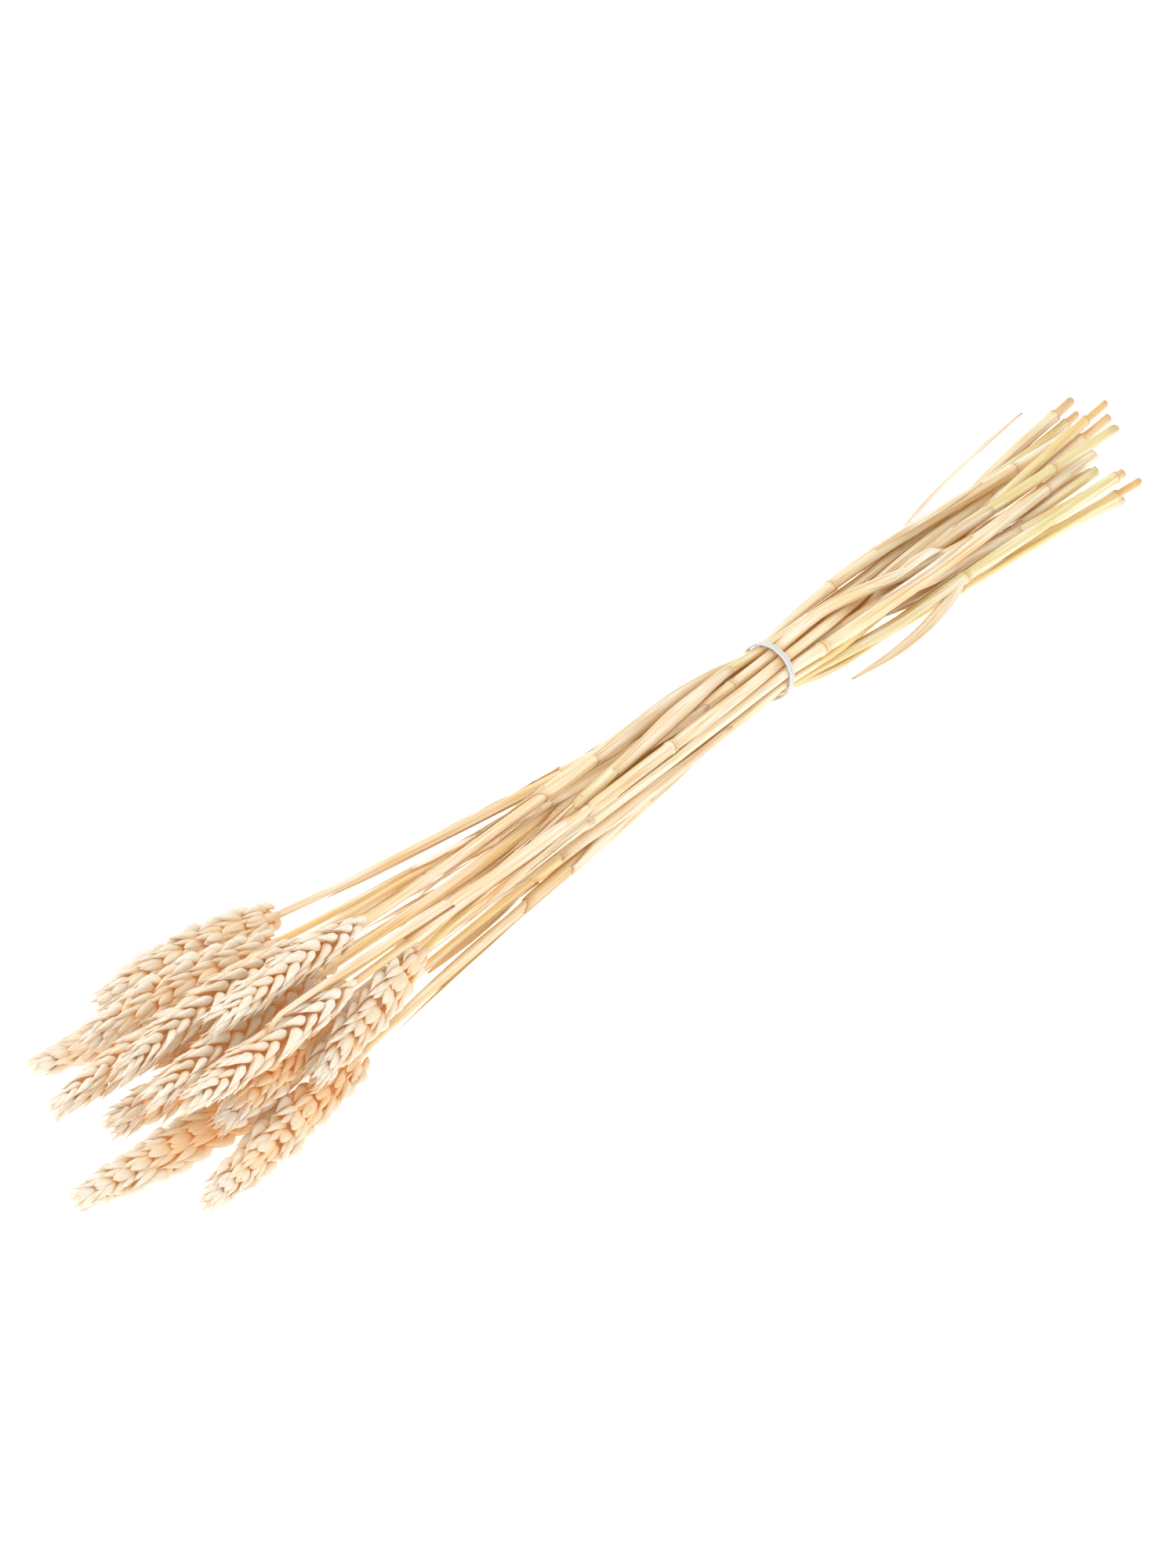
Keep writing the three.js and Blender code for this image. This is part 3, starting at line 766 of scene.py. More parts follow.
OFF_THE_TABLE = 0.1 * MM


def smooth(share):
    share = min(max(share, 0), 1)
    return share * share * (3 - 2 * share)


def ear_swell(share):
    """The ear's outline: it widens over its first third and narrows over its last half."""
    near_foot = FOOT_WIDTH + (1 - FOOT_WIDTH) * smooth(share / 0.3)
    near_tip = 1 - (1 - TIP_WIDTH) * max(0, (share - 0.5) / 0.5) ** 1.7
    return min(near_foot, near_tip)


print("scales in a cluster:", 2 * len(CLUSTER))

# %% [markdown]
# ## The line of an ear
#
# An ear's solid gives its foot, its tip and how far its middle bends off the straight line between them.
# With the two directions across it, any point of the ear can then be named by three numbers.

# %% Ear line
class EarLine:
    """Turns places in an ear's own millimetres into places in the model."""

    def __init__(self, number, roll):
        self.name = f"ear_{number:02d}"
        self.foot = stem_lines[number - 1][0][0]
        corners = [v.co for v in frame["nodes"][self.name].data.vertices]
        tip = min(corners, key=lambda corner: corner.x)
        self.heading = (tip - self.foot).normalized()
        self.length = (tip - self.foot).length / MM
        self.bend = self.bend_of(corners)
        across, up = across_and_up(self.heading)
        self.side = across * math.cos(roll) - up * math.sin(roll)
        self.face = up * math.cos(roll) + across * math.sin(roll)

    def bend_of(self, corners):
        """How far the middle of the ear lies off the straight line."""
        offsets = [corner - self.foot for corner in corners if corner.z > OFF_THE_TABLE]
        half = self.length * MM / 2
        near = [o for o in offsets if abs(o.dot(self.heading) - half) < CLUSTER_PITCH * MM]
        centre = sum(near, Vector()) / len(near)
        return centre - self.heading * centre.dot(self.heading)

    def middle(self, along):
        share = min(max(along / self.length, 0), 1)
        return self.foot + self.heading * (along * MM) + self.bend * (4 * share * (1 - share))

    def spot(self, along, to_side, to_face):
        return self.middle(along) + (self.side * to_side + self.face * to_face) * MM

    def outward(self, place):
        """How far out a place is: 0 on the ear's line, 1 on its outline and near its tip."""
        along = (place - self.foot).dot(self.heading) / MM
        radius = EAR_RADIUS * ear_swell(min(max(along / self.length, 0), 1)) * MM
        beyond = smooth(1 - (self.length - along) / PALE_TIP)
        return min((place - self.middle(along)).length / radius + PALE_TIP_SHARE * beyond, 1)


ear_lines = [EarLine(number, math.radians(stalk["roll"])) for number, stalk in enumerate(STALKS, start=1)]
print("ear lengths in mm:", [round(line.length) for line in ear_lines])

# %% [markdown]
# ## Shelter
#
# Ears that lie under others are in shade, and look warmer because the light that reaches them has passed
# through chaff; that shade is painted into their colour. A few rays sent up from a scale find out how
# much of the sky the other solids hide from it.

# %% Shelter
SHELTER_REACH = 40 * MM
SHELTER_LEANS = (0.5, 1.3)
SHELTER_TURNS = [index * math.pi / 3 for index in range(6)]
SHELTER_RAYS = [
    Vector((math.cos(turn) * lean, math.sin(turn) * lean, 1)).normalized()
    for lean in SHELTER_LEANS for turn in SHELTER_TURNS
]


def search_tree(name):
    solid = frame["nodes"][name].data
    return BVHTree.FromPolygons([v.co for v in solid.vertices], [p.vertices for p in solid.polygons])


solid_trees = {name: search_tree(name) for name in frame["nodes"]}


def sheltered(place, own):
    """How much of the sky the solids other than its own hide from a place: 0 nothing, 1 all of it."""
    others = [tree for name, tree in solid_trees.items() if name != own]
    hits = [any(tree.ray_cast(place, ray, SHELTER_REACH)[0] for tree in others) for ray in SHELTER_RAYS]
    return sum(hits) / len(hits)


print("rays sent up from each scale:", len(SHELTER_RAYS))

# %% [markdown]
# ## Placing one scale
#
# The scale's mesh is copied into the ear's shape, and its points are moved from the scale's own
# measures to the line between foot and tip. The copy arches away from that line like a boat's keel.
# A sheltered scale is marked as if it sat further in, so the finish paints shade on it in the warmer
# tone.

# %% Add a scale
SHELTER_SHADE = 0.31
SCALE_ARCH = 0.35
BEAK_RANGE = (0.2, 1.3)
BEAK_FROM = 0.99


def add_scale(shape, layers, line, foot, tip, back, size, rng):
    width, thick, beak, slim = size
    beak *= rng.uniform(*BEAK_RANGE)
    tone = rng.random()
    start = len(shape.verts)
    shape.from_mesh(SCALE)
    shape.verts.ensure_lookup_table()
    length = (tip - foot).length
    heading = (tip - foot).normalized()
    back = (back - heading * back.dot(heading)).normalized()
    across = back.cross(heading)
    # Painted shade: a scale that other solids hide from the sky is marked as if deeper in the ear.
    depth = SHELTER_SHADE * sheltered((foot + tip) / 2, line.name) ** 2
    for vert in shape.verts[start:]:
        share, aside, above = vert.co
        half = scale_width(share, slim) * MM
        arch = SCALE_ARCH * thick * math.sin(math.pi * min(share * 1.1, 1)) * MM
        reach = length * share + (beak * MM if share > BEAK_FROM else 0)
        to_side, to_back = aside * half * width / 2, above * half * thick + arch
        vert.co = foot + heading * reach + across * to_side + back * to_back
        vert[layers["grain"]] = Vector((share * length + tone, to_side, to_back))
        vert[layers["marks"]] = (max(line.outward(vert.co) - depth, 0), tone, share, 1)


# %% [markdown]
# ## An ear
#
# The core is a thin tube that bends a little at each cluster, and it joins the straw at the ear's foot.
# Clusters follow from foot to tip, each turned, sized and opened by a little chance, because a regular
# ear looks like carved wood. At the very tip a last tuft of narrow scales points forward.

# %% Ear builder
CORE_SIDES = 8
CORE_FOOT_RADIUS = 1.05
CORE_RADIUS = (1.7, 0.8)
CORE_ZIGZAG = 0.45
CORE_START = -1
CORE_MARKS = (0.7, 0.5, 0.5, 1)
# What chance does to a cluster: how wide it opens, how far it sways, how much its scales grow, how far
# their feet and tips stray, the tips to the side and to the face, and how far their backs turn.
OPENING = (0.88, 1.14)
SWAY = 0.5
GROWTH = (0.86, 1.10)
FOOT_STRAY = 0.5
TIP_STRAY_SIDE, TIP_STRAY_FACE = 0.6, 0.9
TURN_STRAY = 20
GIRTH_AT = 4
TUFT_SCALES = 5
TUFT_LENGTH = 8.5
TUFT_SCALE = (2.7, 1.3, 1.2, 0.9)
TUFT_FOOT, TUFT_TIP = 0.5, 2.2
TUFT_SHORT = (0.2, 2)
TUFT_STRAY = 0.2


def stray(rng, reach):
    """A chance amount between minus and plus the reach."""
    return rng.uniform(-reach, reach)


def add_core(shape, layers, line, starts):
    def place(step, turn):
        share = step / len(starts)
        radius = CORE_RADIUS[0] + (CORE_RADIUS[1] - CORE_RADIUS[0]) * share if step else CORE_FOOT_RADIUS
        sway = CORE_ZIGZAG * (1 if step % 2 else -1) if step else 0
        along = starts[step] if step else CORE_START
        to_side, to_face = sway + radius * math.cos(turn), radius * math.sin(turn)
        return line.spot(along, to_side, to_face), Vector((along, to_side, to_face)) * MM, CORE_MARKS

    add_tube(shape, layers, CORE_SIDES, [partial(place, step) for step in range(len(starts))])


def cluster_starts(line):
    """Where the clusters sit along an ear, closer together towards its tip."""
    count = 2 * round(line.length / CLUSTER_PITCH) + 1
    steps = [1 - CLOSER_AT_TIP * (index / count) ** 1.5 for index in range(count)]
    room = line.length - EAR_POINT - LAST_REACH * CLUSTER_PITCH
    return [sum(steps[:index]) * room / sum(steps) for index in range(count + 1)]


def add_cluster(shape, layers, line, rng, start, side_sign):
    girth = ear_swell((start + GIRTH_AT) / line.length)
    opening = rng.uniform(*OPENING)
    sway = stray(rng, SWAY)
    for part in CLUSTER:
        width, thick, beak, slim = part["size"]
        for face_sign in (1, -1):
            growth = rng.uniform(*GROWTH)
            foot_along, foot_side, foot_face = part["foot"]
            tip_along, tip_side, tip_face = part["tip"]
            reach = foot_along + (tip_along - foot_along) * (0.6 + 0.4 * girth) * growth
            foot = line.spot(
                start + foot_along + stray(rng, FOOT_STRAY),
                side_sign * girth * foot_side,
                face_sign * girth * foot_face + sway,
            )
            tip = line.spot(
                min(start + reach, line.length),
                side_sign * (girth * tip_side * opening + stray(rng, TIP_STRAY_SIDE)),
                face_sign * (girth * tip_face * opening + stray(rng, TIP_STRAY_FACE)) + 2 * sway,
            )
            turn = math.radians(part["turn"] + stray(rng, TURN_STRAY))
            back = line.side * (side_sign * math.cos(turn)) + line.face * (face_sign * math.sin(turn))
            bulk = girth**0.6 * growth
            add_scale(shape, layers, line, foot, tip, back, (width * bulk, thick * bulk, beak, slim), rng)


def add_tuft(shape, layers, line, rng):
    for index in range(TUFT_SCALES):
        turn = 2 * math.pi * (index + stray(rng, TUFT_STRAY)) / TUFT_SCALES
        to_side, to_face = math.cos(turn), math.sin(turn)
        start = line.length - TUFT_LENGTH + stray(rng, FOOT_STRAY)
        foot = line.spot(start, TUFT_FOOT * to_side, TUFT_FOOT * to_face)
        tip = line.spot(line.length - rng.uniform(*TUFT_SHORT), TUFT_TIP * to_side, TUFT_TIP * to_face)
        back = line.side * to_side + line.face * to_face
        add_scale(shape, layers, line, foot, tip, back, TUFT_SCALE, rng)


print("clusters per ear:", [len(cluster_starts(line)) for line in ear_lines])

# %% [markdown]
# ## All the ears
#
# Each ear starts its chance from its own number, so the sixteen differ, and a new run makes them again
# exactly as they were. No scale may dip below the table, so points that would are lifted onto it.

# %% Ears
LOWEST_CHAFF = 0.1 * MM


def build_ear(number, line):
    rng = random.Random(number)
    starts = cluster_starts(line)
    shape, layers = new_shape()
    add_core(shape, layers, line, starts)
    for step, start in enumerate(starts):
        add_cluster(shape, layers, line, rng, start, 1 if step % 2 else -1)
    add_tuft(shape, layers, line, rng)
    for vert in shape.verts:
        vert.co.z = max(vert.co.z, LOWEST_CHAFF)
    ear = finish_piece(f"wheat_ear_{number:02d}", shape, [chaff.material])
    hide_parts(f"ear_{number:02d}")
    return ear


ears = [build_ear(number, line) for number, line in enumerate(ear_lines, start=1)]
print("faces in the ears:", sum(len(ear.data.polygons) for ear in ears))

# %% [markdown]
# ## A straw
#
# Below its ear a wheat stem is bare and slim. Then the top leaf sheath wraps it, so it is thicker, and
# the mouth of the sheath is torn. At a knot the next sheath grows out of a swollen ring. Below the last
# knot, some stalks end in a slim brown stub. The cut end shows that straw is hollow.
#
# A straw is therefore one tube, and a list of stations says how wide it is along its length. At the
# mouth, the tube turns back on itself for a few millimetres, which leaves a real edge with depth.

# %% Straw measures
STRAW_SIDES = 14
STATION_STEP = 7 * MM
NECK_REACH = 3 * MM
MOUTH_TEAR = 4.5 * MM
SHEATH_FROM, STEPS_FROM = 3 * MM, 9 * MM
KNOT_CLEARANCE = 4.5 * MM
CUT_CLEARANCE = 4 * MM
HOLLOW_DEPTH = 3 * MM
CUT_SLOPE = 0.5
STUB_LENGTH = 30 * MM
STUB_FROM = 1.5 * MM
STUB_SHARE = 0.84
# Where the tube turns back: millimetres below the mouth, share of the radius, tear and brownness.
MOUTH_SHAPE = [(5, 1, 0.0, 0.0), (5, 1.08, 0.0, 0.4), (0, 1.16, 1.0, 0.3), (0, 1.27, 1.0, 0.25)]
# Round a knot: millimetres towards the cut end, what the radius gains there, and how brown it is.
KNOT_SHAPE = [
    (-3.6, 0.02, 0.0), (-2.2, 0.08, 0.02), (-1.4, 0.24, 0.10), (-0.7, 0.30, 0.15), (-0.2, 0.14, 0.75),
    (0.2, 0.12, 0.85), (0.7, 0.26, 0.35), (1.3, 0.20, 0.25), (2.0, -0.02, 0.45), (3.2, -0.10, 0.10),
]
# The sheath laps over itself: how far its edge stands up, and how little of a turn the step takes.
LAP_HEIGHT = 0.16 * MM
LAP_TURN = 0.05


def plain_line(number, stalk):
    """The stem's rings without the swollen ones, so that knots can be drawn finer."""
    knots = [from_tie(knot) for knot in stalk["knots"]]
    return [ring for ring in stem_lines[number - 1] if all(abs(ring[0].x - x) > MM for x in knots)]


def straw_stations(line, stalk):
    """Stations along a straw: x, radius, how much it tears, brownness and how far it is a stub."""
    foot, end = line[0][0].x, line[-1][0].x
    mouth = from_tie(stalk["mouth"])
    knots = sorted(from_tie(knot) for knot in stalk["knots"])
    has_stub = end - knots[-1] < STUB_LENGTH

    def station(x, radius, tear=0.0, brown=0.0):
        is_stub = has_stub and x > knots[-1] + STUB_FROM
        return x, radius * (STUB_SHARE if is_stub else 1), tear, brown, 1.0 if is_stub else 0.0

    def plain(x, gain=0.0, tear=0.0, brown=0.0):
        return station(x, on_line(line, max(x, foot))[1] + gain * MM, tear, brown)

    top, count = foot - NECK_REACH, round((mouth - foot) / STATION_STEP)
    neck = [plain(top + (mouth - top) * index / count) for index in range(count)]
    bare_radius = on_line(line, mouth - 2 * MM)[1]
    turned = [
        station(mouth + below * MM, bare_radius * share, tear, brown)
        for below, share, tear, brown in MOUTH_SHAPE
    ]
    sheath = [
        plain(from_tie(knot) + along * MM, gain, brown=brown)
        for knot in stalk["knots"] for along, gain, brown in KNOT_SHAPE
    ]
    x = mouth + STEPS_FROM
    while x < end - CUT_CLEARANCE:
        if all(abs(x - knot) > KNOT_CLEARANCE for knot in knots):
            sheath.append(plain(x))
        x += STATION_STEP
    return neck + turned + [plain(mouth + SHEATH_FROM, tear=0.2)] + sorted(sheath)


print("rings round a knot:", len(KNOT_SHAPE))

# %% [markdown]
# ## Painted shade in crevices
#
# Where straws lie against each other, little light gets in, and that shade is painted into the straw as
# brown. So each point of a straw looks for the nearest other solid, and takes a share of the knots' brown
# as painted shade if it is near.

# %% Painted shade in crevices
CREVICE_REACH = 2.4 * MM
CREVICE_SHADE = 0.85


def tree_of_others(own):
    """One search tree of all the solids but one."""
    points, faces = [], []
    for name, node in frame["nodes"].items():
        if name != own:
            first = len(points)
            points += [v.co for v in node.data.vertices]
            faces += [[first + index for index in polygon.vertices] for polygon in node.data.polygons]
    return BVHTree.FromPolygons(points, faces)


def paint_crevice_shade(shape, layers, own):
    others = tree_of_others(own)
    for vert in shape.verts:
        distance = others.find_nearest(vert.co, CREVICE_REACH)[3]
        if distance is not None:
            brown, stub, tone, _ = vert[layers["marks"]]
            # Painted shade: the nearer another solid, the more brown.
            near = CREVICE_SHADE * smooth(1 - distance / CREVICE_REACH)
            vert[layers["marks"]] = (max(brown, near), stub, tone, 1)


print("straws brown where another solid is within", round(CREVICE_REACH / MM, 1), "mm")

# %% [markdown]
# ## The skin of a straw
#
# For each station and each turn round the tube, one function says where the skin is. It adds what chance
# does to straw: shallow creases, a ragged mouth, and the step where the sheath laps over itself. The cut
# end is slanted, and its last rings step inwards and back, which makes the rim and the hollow.

# %% Straw skin
NOISE_SHIFT = 3.7
CREASE_ALONG, CREASE_ROUND = 45, 1.3
CREASE_SHARE = 0.07
RAGGED_ROUND = 3
MOUTH_RAGGED = 1.6 * MM
# The cut end: share of the radius, how far back from the end, and how brown it is. The brown deep in the
# hollow is painted shade.
CUT_SHAPE = [(1, 0, 0.1), (0.74, 0, 0.3), (0.7, HOLLOW_DEPTH, 0.8)]


def straw_place(number, line, mouth, rng):
    """A function that gives a corner's point, grain and marks for a station and a turn."""
    lean = rng.uniform(0, 2 * math.pi)
    shift = number * NOISE_SHIFT
    tone = rng.random()
    last_turn = 2 * math.pi * (1 - 1.5 / STRAW_SIDES)

    def place(station, turn):
        x, radius, tear, brown, stub = station
        middle = on_line(line, x)[0]
        heading = heading_at(line, x)
        across, up = across_and_up(heading)
        grain = Vector((x + shift, math.cos(turn) * radius, math.sin(turn) * radius))
        lap = 1 - turn / (2 * math.pi)
        if turn > last_turn:
            turn = 2 * math.pi - LAP_TURN
            lap = 0
        turn += lean
        high, wide = math.cos(turn), math.sin(turn)
        crease = noise.noise(Vector((x * CREASE_ALONG + shift, high * CREASE_ROUND, wide * CREASE_ROUND)))
        ragged = noise.noise(Vector((shift, high * RAGGED_ROUND, wide * RAGGED_ROUND)))
        pointed = (0.5 + 0.5 * math.cos(turn - lean)) ** 2
        has_lap = x > mouth and stub < 0.5
        width = radius * (1 + CREASE_SHARE * crease) + (LAP_HEIGHT * lap if has_lap else 0)
        point = middle + up * (high * width) - across * (wide * width)
        point -= heading * (tear * (MOUTH_TEAR * pointed + MOUTH_RAGGED * ragged))
        return point, grain, (brown, stub, tone, 1)

    return place


def add_stalk(shape, layers, line, stations, place):
    """The tube from the ear to the cut end, with its rim and its hollow."""
    end, stub = line[-1][0].x, stations[-1][4]
    radius = line[-1][1] * (STUB_SHARE if stub else 1)

    def cut_place(station, depth, turn):
        point, grain, marks = place(station, turn)
        point.x += CUT_SLOPE * radius * -math.sin(turn) - depth
        return point, grain, marks

    rims = [
        partial(cut_place, (end, radius * share, 0, brown, stub), depth)
        for share, depth, brown in CUT_SHAPE
    ]
    add_tube(shape, layers, STRAW_SIDES, [partial(place, station) for station in stations] + rims)


print("rings at a cut end:", len(CUT_SHAPE))

# %% [markdown]
# ## Bent blades
#
# Dried leaves, shreds, loose sheaths and the long strip are all thin blades. A grid has the right faces
# for them: its columns are put along the blade and its rows across it. Solidify's operator then gives it
# a thickness, along the normals that the grid had while it was flat, which is straight up. That is right
# for blades that lie flat, and it leaves a blade thinner where it stands upright.

# %% Blade
def add_blade(shape, layers, stations, rows, thickness, place):
    """Bends a grid by place(share, side), which gives a corner's point, grain and marks."""
    grid = bmesh.ops.create_grid(shape, x_segments=stations, y_segments=rows, size=0.5)["verts"]
    faces = list(dict.fromkeys(face for vert in grid for face in vert.link_faces))
    for vert in grid:
        vert.co, vert[layers["grain"]], vert[layers["marks"]] = place(vert.co.x + 0.5, vert.co.y * 2)
    for face in faces:
        face.material_index = 1
    bmesh.ops.solidify(shape, geom=faces, thickness=thickness)


# %% [markdown]
# ## A dried leaf
#
# A leaf leaves its straw at the mouth of a sheath. There it still wraps round the straw, and further
# out it flattens, curls at its edges and ends torn. The solid of the stem says where its leaf runs.

# %% Leaf builder
LEAF_STATIONS = 36
LEAF_ROWS = 6
LEAF_THICKNESS = 0.22 * MM
LEAF_REACH = (6 * MM, 140 * MM)
LEAF_WRAP_LENGTH = 16 * MM
LEAF_ROOT_WIDTH = 0.9
LEAF_EASE = 12 * MM
EASE_STEPS = 3
LEAF_CURL = 0.16
LEAF_WAVE = 0.5 * MM
HEADING_SHARE = 0.03


def leaf_line(number, line, root, way):
    """Middles and half widths along the leaf that starts at root and runs that way along X."""
    start, radius = on_line(line, root)
    near, far = LEAF_REACH
    rings = [ring for ring in leaf_rings(f"stem_{number:02d}") if near < (ring[0].x - root) * way < far]
    return [(start, radius * LEAF_ROOT_WIDTH), *sorted(rings, key=lambda ring: ring[0].x * way)], radius


def along_leaf(rings, share):
    """Middle and half width at a share of the leaf's length, eased so that no ring shows as a corner."""
    lengths = [0.0]
    for (one, _), (two, _) in zip(rings, rings[1:]):
        lengths.append(lengths[-1] + (two - one).length)

    def straight(distance):
        distance = min(max(distance, 0), lengths[-1])
        index = max([0] + [i for i in range(len(rings) - 1) if lengths[i] <= distance])
        part = (distance - lengths[index]) / (lengths[index + 1] - lengths[index])
        (one, one_half), (two, two_half) = rings[index], rings[index + 1]
        return one.lerp(two, part), one_half + (two_half - one_half) * part

    here = share * lengths[-1]
    reach = min(LEAF_EASE, here, lengths[-1] - here)
    steps = range(-EASE_STEPS, EASE_STEPS + 1)
    samples = [straight(here + reach * step / EASE_STEPS) for step in steps]
    middle = sum((spot for spot, _ in samples), Vector()) / len(samples)
    return middle, sum(half for _, half in samples) / len(samples), here


def add_leaf(shape, layers, number, line, root, way):
    rings, radius = leaf_line(number, line, root, way)

    def place(share, side):
        middle, half, distance = along_leaf(rings, share)
        ahead = along_leaf(rings, min(share + HEADING_SHARE, 1))[0]
        behind = along_leaf(rings, max(share - HEADING_SHARE, 0))[0]
        across, up = across_and_up((ahead - behind).normalized())
        wrapped = 1 - smooth(distance / LEAF_WRAP_LENGTH)
        sag = (side * half) ** 2 / (2 * radius) * wrapped
        wave = LEAF_WAVE * noise.noise(Vector((distance * 60, side * 0.8, number * 2.3)))
        raised = radius * wrapped - sag + (half * LEAF_CURL * side**2 + wave) * (1 - wrapped)
        ragged = abs(noise.noise(Vector((side * 2.5, number * 1.7, 0))))
        torn = 1 - 0.25 * ragged * smooth((share - 0.9) * 10)
        point = middle + across * (side * half * torn) + up * raised
        grain = Vector((distance + number, side * half, 0))
        return point, grain, (0.6 * smooth((share - 0.94) * 16), 0, 0.3, 1)

    add_blade(shape, layers, LEAF_STATIONS, LEAF_ROWS, LEAF_THICKNESS, place)


print("dried leaves:", sum(len(leaves) for leaves in LEAVES.values()))

# %% [markdown]
# ## Shreds of sheath
#
# Where a top leaf has broken off, narrow shreds of it still point towards the ear and lie along the
# straw. They fill the spaces between straws with thin pale lines. Each starts inside the mouth of the
# sheath, wanders round the straw a little, stands slightly off it and narrows to a tip.

# %% Shred builder
SHRED_COUNT = 3
SHRED_STATIONS = 16
SHRED_ROWS = 2
SHRED_LENGTH = (45, 110)
SHRED_HALF_WIDTH = (0.7, 2.2)
SHRED_STAND_OFF = (0.6, 2.2)
SHRED_THICKNESS = 0.15 * MM
SHRED_START, SHRED_STOP = 2 * MM, 4 * MM
SHRED_TIP = 0.04
SHRED_DRIFT = 0.9


def add_shred(shape, layers, line, mouth, rng):
    length = min(rng.uniform(*SHRED_LENGTH) * MM, mouth - line[0][0].x - SHRED_STOP)
    half = rng.uniform(*SHRED_HALF_WIDTH) * MM
    turn_start, drift = rng.uniform(0, 2 * math.pi), stray(rng, SHRED_DRIFT)
    stand_off = rng.uniform(*SHRED_STAND_OFF) * MM
    tone = rng.random()

    def place(share, side):
        x = mouth + SHRED_START - share * length
        middle, radius = on_line(line, x)
        across, up = across_and_up(heading_at(line, x))
        turn = turn_start + drift * share + 0.3 * math.sin(5 * share + tone)
        out = up * math.cos(turn) + across * math.sin(turn)
        aside = across * math.cos(turn) - up * math.sin(turn)
        narrowed = 1 - (1 - SHRED_TIP) * share**3
        width = half * narrowed * (0.8 + 0.3 * math.sin(7 * share + 6 * tone))
        off = radius + SHRED_THICKNESS + stand_off * share**1.5
        point = middle + out * (off - 0.25 * width * side**2 * (1 - share)) + aside * (side * width)
        grain = Vector((share * length + tone, side * width, 0))
        return point, grain, (0.4 * smooth(share * 4 - 3), 0, tone, 1)

    add_blade(shape, layers, SHRED_STATIONS, SHRED_ROWS, SHRED_THICKNESS, place)


print("shreds on each straw:", SHRED_COUNT)

# %% [markdown]
# ## Loose sheath
#
# A dried sheath often comes away from its straw along one side. It is then an open half pipe around the
# straw, a little wider than it, with a straight edge and a dark slit below. Blades bent round the straw
# make these, and they give the bundle its flat, broad and pale faces between the round ones. Each straw
# has one above the tie and one below it, unless chance puts it under the tie, where there is no room.

# %% Loose sheath builder
SHEATH_STATIONS = 18
SHEATH_ROWS = 6
SHEATH_THICKNESS = 0.16 * MM
SHEATH_LENGTH = (45, 100)
SHEATH_HALF_TURN = (1.0, 1.7)
SHEATH_LIFT = (0.5, 1.3)
SHEATH_CLEARANCE = 0.22 * MM
SHEATH_TORN = 3 * MM
SHEATH_CREASE = 0.25 * MM
SHEATH_DRIFT = 0.5
# Where the two start, in millimetres: the upper after the mouth, and the lower after the tie.
UPPER_START, LOWER_START = (4, 30), (25, 120)
NEAR_THE_TIE = 12
NEAR_THE_CUT = 6 * MM


def add_loose_sheath(shape, layers, line, start, end, rng):
    turn_middle, drift = rng.uniform(0, 2 * math.pi), stray(rng, SHEATH_DRIFT)
    half_turn = rng.uniform(*SHEATH_HALF_TURN)
    lift = rng.uniform(*SHEATH_LIFT) * MM
    tone = rng.random()

    def place(share, side):
        torn = SHEATH_TORN * noise.noise(Vector((side * 2, tone * 9, 0)))
        x = start + (end - start) * share + torn * (smooth(share * 8 - 7) - smooth(1 - share * 8))
        middle, radius = on_line(line, x)
        across, up = across_and_up(heading_at(line, x))
        taper = 0.45 + 0.55 * math.sin(math.pi * min(max(share, 0.08), 0.92)) ** 0.5
        turn = turn_middle + drift * (share - 0.5) + side * half_turn * taper
        crease = SHEATH_CREASE * noise.noise(Vector((x * 50, side * 1.5, tone * 7)))
        opened = lift * (0.15 + 0.85 * side**2) * math.sin(math.pi * share)
        out = up * math.cos(turn) + across * math.sin(turn)
        point = middle + out * (radius + SHEATH_CLEARANCE + opened + crease)
        grain = Vector((x + tone, side * 3 * MM, 0))
        return point, grain, (0.3 * smooth(abs(2 * share - 1) * 12 - 11), 0, tone, 1)

    add_blade(shape, layers, SHEATH_STATIONS, SHEATH_ROWS, SHEATH_THICKNESS, place)


def add_sheaths(shape, layers, line, stalk, rng):
    upper = from_tie(stalk["mouth"]) + rng.uniform(*UPPER_START) * MM
    lower = from_tie(rng.uniform(*LOWER_START))
    for start in (upper, lower):
        length = rng.uniform(*SHEATH_LENGTH) * MM
        stop = min(start + length, line[-1][0].x - NEAR_THE_CUT)
        if stop < from_tie(-NEAR_THE_TIE) or start > from_tie(NEAR_THE_TIE):
            add_loose_sheath(shape, layers, line, start, stop, rng)


print("faces bent into a loose sheath:", SHEATH_STATIONS * SHEATH_ROWS)

# %% [markdown]
# ## A long strip over the ears
#
# One folded strip of dried leaf lies across the ears. It starts on its own straw and ends on an ear.
# Rays sent straight down find how high the solids reach below it, and the strip is then pulled taut
# over the highest of them, because dried leaf is too stiff to dip into every furrow. A fold along its
# middle makes it look like two thin stalks side by side.

# %% Long strip
LONG_STRIPS = {7: {"start": -205, "end": (-290, -34.8)}}
STRIP_STATIONS = 30
STRIP_ROWS = 8
STRIP_HALF_WIDTH = 1.7 * MM
STRIP_FOLD = 0.45 * MM
STRIP_THICKNESS = 0.2 * MM
STRIP_CLEARANCE = 1.0 * MM
RAY_HEIGHT = 0.2


def top_at(place):
    """The height of the highest solid at a place of the table."""
    start = Vector((place.x, place.y, RAY_HEIGHT))
    hits = [tree.ray_cast(start, Vector((0, 0, -1)))[0] for tree in solid_trees.values()]
    return max([hit.z for hit in hits if hit] + [0.0])


def taut_height(tops, index):
    """The height there of a line pulled taut over a row of heights."""
    spans = [(low, high) for low in range(index + 1) for high in range(index, len(tops)) if high > low]
    return max(tops[a] + (tops[b] - tops[a]) * (index - a) / (b - a) for a, b in spans)


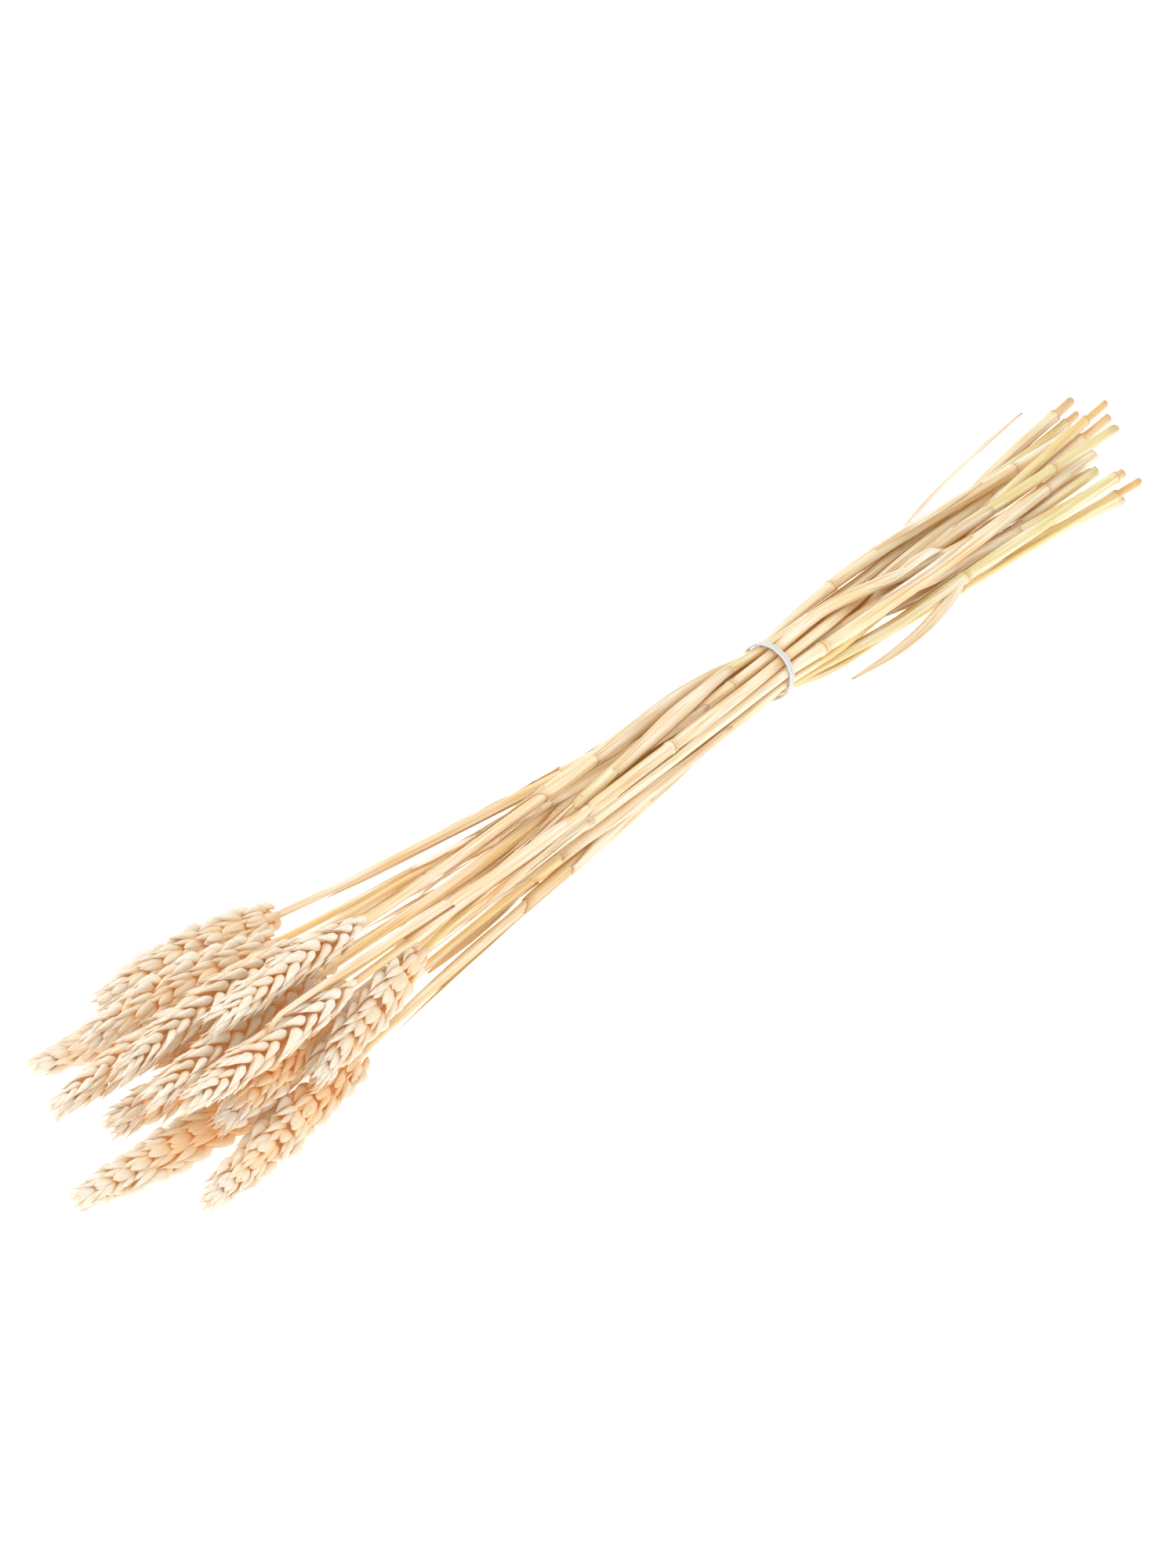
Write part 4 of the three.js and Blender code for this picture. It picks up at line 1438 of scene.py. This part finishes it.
def strip_line(line, strip):
    """Places along the strip, from its own straw to the ear that it ends on."""
    first, radius = on_line(line, from_tie(strip["start"]))
    last = Vector((from_tie(strip["end"][0]), TIE_MIDDLE.y + strip["end"][1] * MM, 0))
    places = [first.lerp(last, index / STRIP_STATIONS) for index in range(STRIP_STATIONS + 1)]
    tops = [first.z + radius] + [top_at(place) + STRIP_CLEARANCE for place in places[1:]]
    for index, place in enumerate(places):
        place.z = taut_height(tops, index)
    return places


def add_long_strip(shape, layers, line, strip):
    places = strip_line(line, strip)
    across, _ = across_and_up((places[-1] - places[0]).normalized())

    def place(share, side):
        spot = places[round(share * STRIP_STATIONS)]
        half = STRIP_HALF_WIDTH * (1 - 0.6 * share**3)
        fold = STRIP_FOLD * (abs(math.sin(math.pi * side)) - 0.5)
        grain = Vector((share * 0.1, side * half, 0))
        point = spot + across * (side * half) + Vector((0, 0, fold))
        return point, grain, (0.8 * smooth((share - 0.95) * 20), 0, 0.9, 1)

    add_blade(shape, layers, STRIP_STATIONS, STRIP_ROWS, STRIP_THICKNESS, place)


print("strips over the ears:", len(LONG_STRIPS))

# %% [markdown]
# ## All the straws
#
# A straw is its tube and whatever dried leaf, shreds and loose sheaths hang on it, all in one shape. The
# record names the material slot of each stem, and so its tone: cream, golden or olive.

# %% Straws
LOWEST_STRAW = 0.05 * MM


def build_straw(number, stalk):
    rng = random.Random(100 + number)
    stem = f"stem_{number:02d}"
    slot = SLOTS[stem]
    mouth = from_tie(stalk["mouth"])
    line = plain_line(number, stalk)
    shape, layers = new_shape()
    add_stalk(shape, layers, line, straw_stations(line, stalk), straw_place(number, line, mouth, rng))
    for root, way in LEAVES.get(number, []):
        add_leaf(shape, layers, number, line, from_tie(root), way)
    for _ in range(SHRED_COUNT):
        add_shred(shape, layers, line, mouth, rng)
    add_sheaths(shape, layers, line, stalk, rng)
    paint_crevice_shade(shape, layers, stem)
    if number in LONG_STRIPS:
        add_long_strip(shape, layers, line, LONG_STRIPS[number])
    for vert in shape.verts:
        vert.co.z = max(vert.co.z, LOWEST_STRAW)
    straw = finish_piece(f"straw_{number:02d}", shape, [STRAWS[slot], leaf_finish])
    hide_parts(stem)
    return straw


straws = [build_straw(number, stalk) for number, stalk in enumerate(STALKS, start=1)]
print("faces in the straws:", sum(len(straw.data.polygons) for straw in straws))

# %% [markdown]
# ## The tie
#
# A thin white elastic goes twice round the bundle, so two strands lie side by side. The plain solid of
# the tie says how far out they run in each direction: a ray from its middle meets its inner wall. Each
# strand is a tube whose last ring falls on its first, where doubled corners are merged.

# %% Tie
TIE_STATIONS = 96
STRAND_SIDES = 10
STRAND_RADIUS = 0.55 * MM
STRAND_CLEARANCE = 1.1
STRAND_OFFSET = 0.62 * MM
STRAND_DRIFT = 0.06 * MM
DOUBLED = 0.001 * MM


def strand_place(side, station, turn):
    """The point, grain and marks of a strand's corner, at a station round the tie and a turn."""
    around = 2 * math.pi * station / TIE_STATIONS
    out = Vector((0, math.cos(around), math.sin(around)))
    radius = solid_trees["tie_band"].ray_cast(TIE_MIDDLE, out)[3] + STRAND_RADIUS * STRAND_CLEARANCE
    drift = STRAND_DRIFT * math.sin(3 * around + side)
    middle = TIE_MIDDLE + out * radius + Vector((side * STRAND_OFFSET + drift, 0, 0))
    along, outward = math.cos(turn) * STRAND_RADIUS, math.sin(turn) * STRAND_RADIUS
    grain = Vector((around * radius, along, outward + side))
    return middle + Vector((along, 0, 0)) + out * outward, grain, (0, 0, 0, 1)


def build_tie():
    shape, layers = new_shape()
    for side in (-1, 1):
        places = [partial(strand_place, side, station) for station in range(TIE_STATIONS + 1)]
        add_tube(shape, layers, STRAND_SIDES, places, capped=False)
    bmesh.ops.remove_doubles(shape, verts=shape.verts, dist=DOUBLED)
    tie = finish_piece("elastic_tie", shape, [elastic.material])
    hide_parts("tie_band")
    return tie


tie = build_tie()
print("faces in the tie:", len(tie.data.polygons))

# %% [markdown]
# ## Sizes and the end
#
# The looks mustn't change how big the bundle is. The boxes of the solids and of the finished bundle are
# kept side by side, and the bundle's box is printed.

# %% Sizes and the end
low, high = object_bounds()
sizes = {"cad": [list(cad_box[0]), list(cad_box[1])], "scene": [list(low), list(high)]}
print("visual box:", [round(value, 4) for value in (*low, *high)])
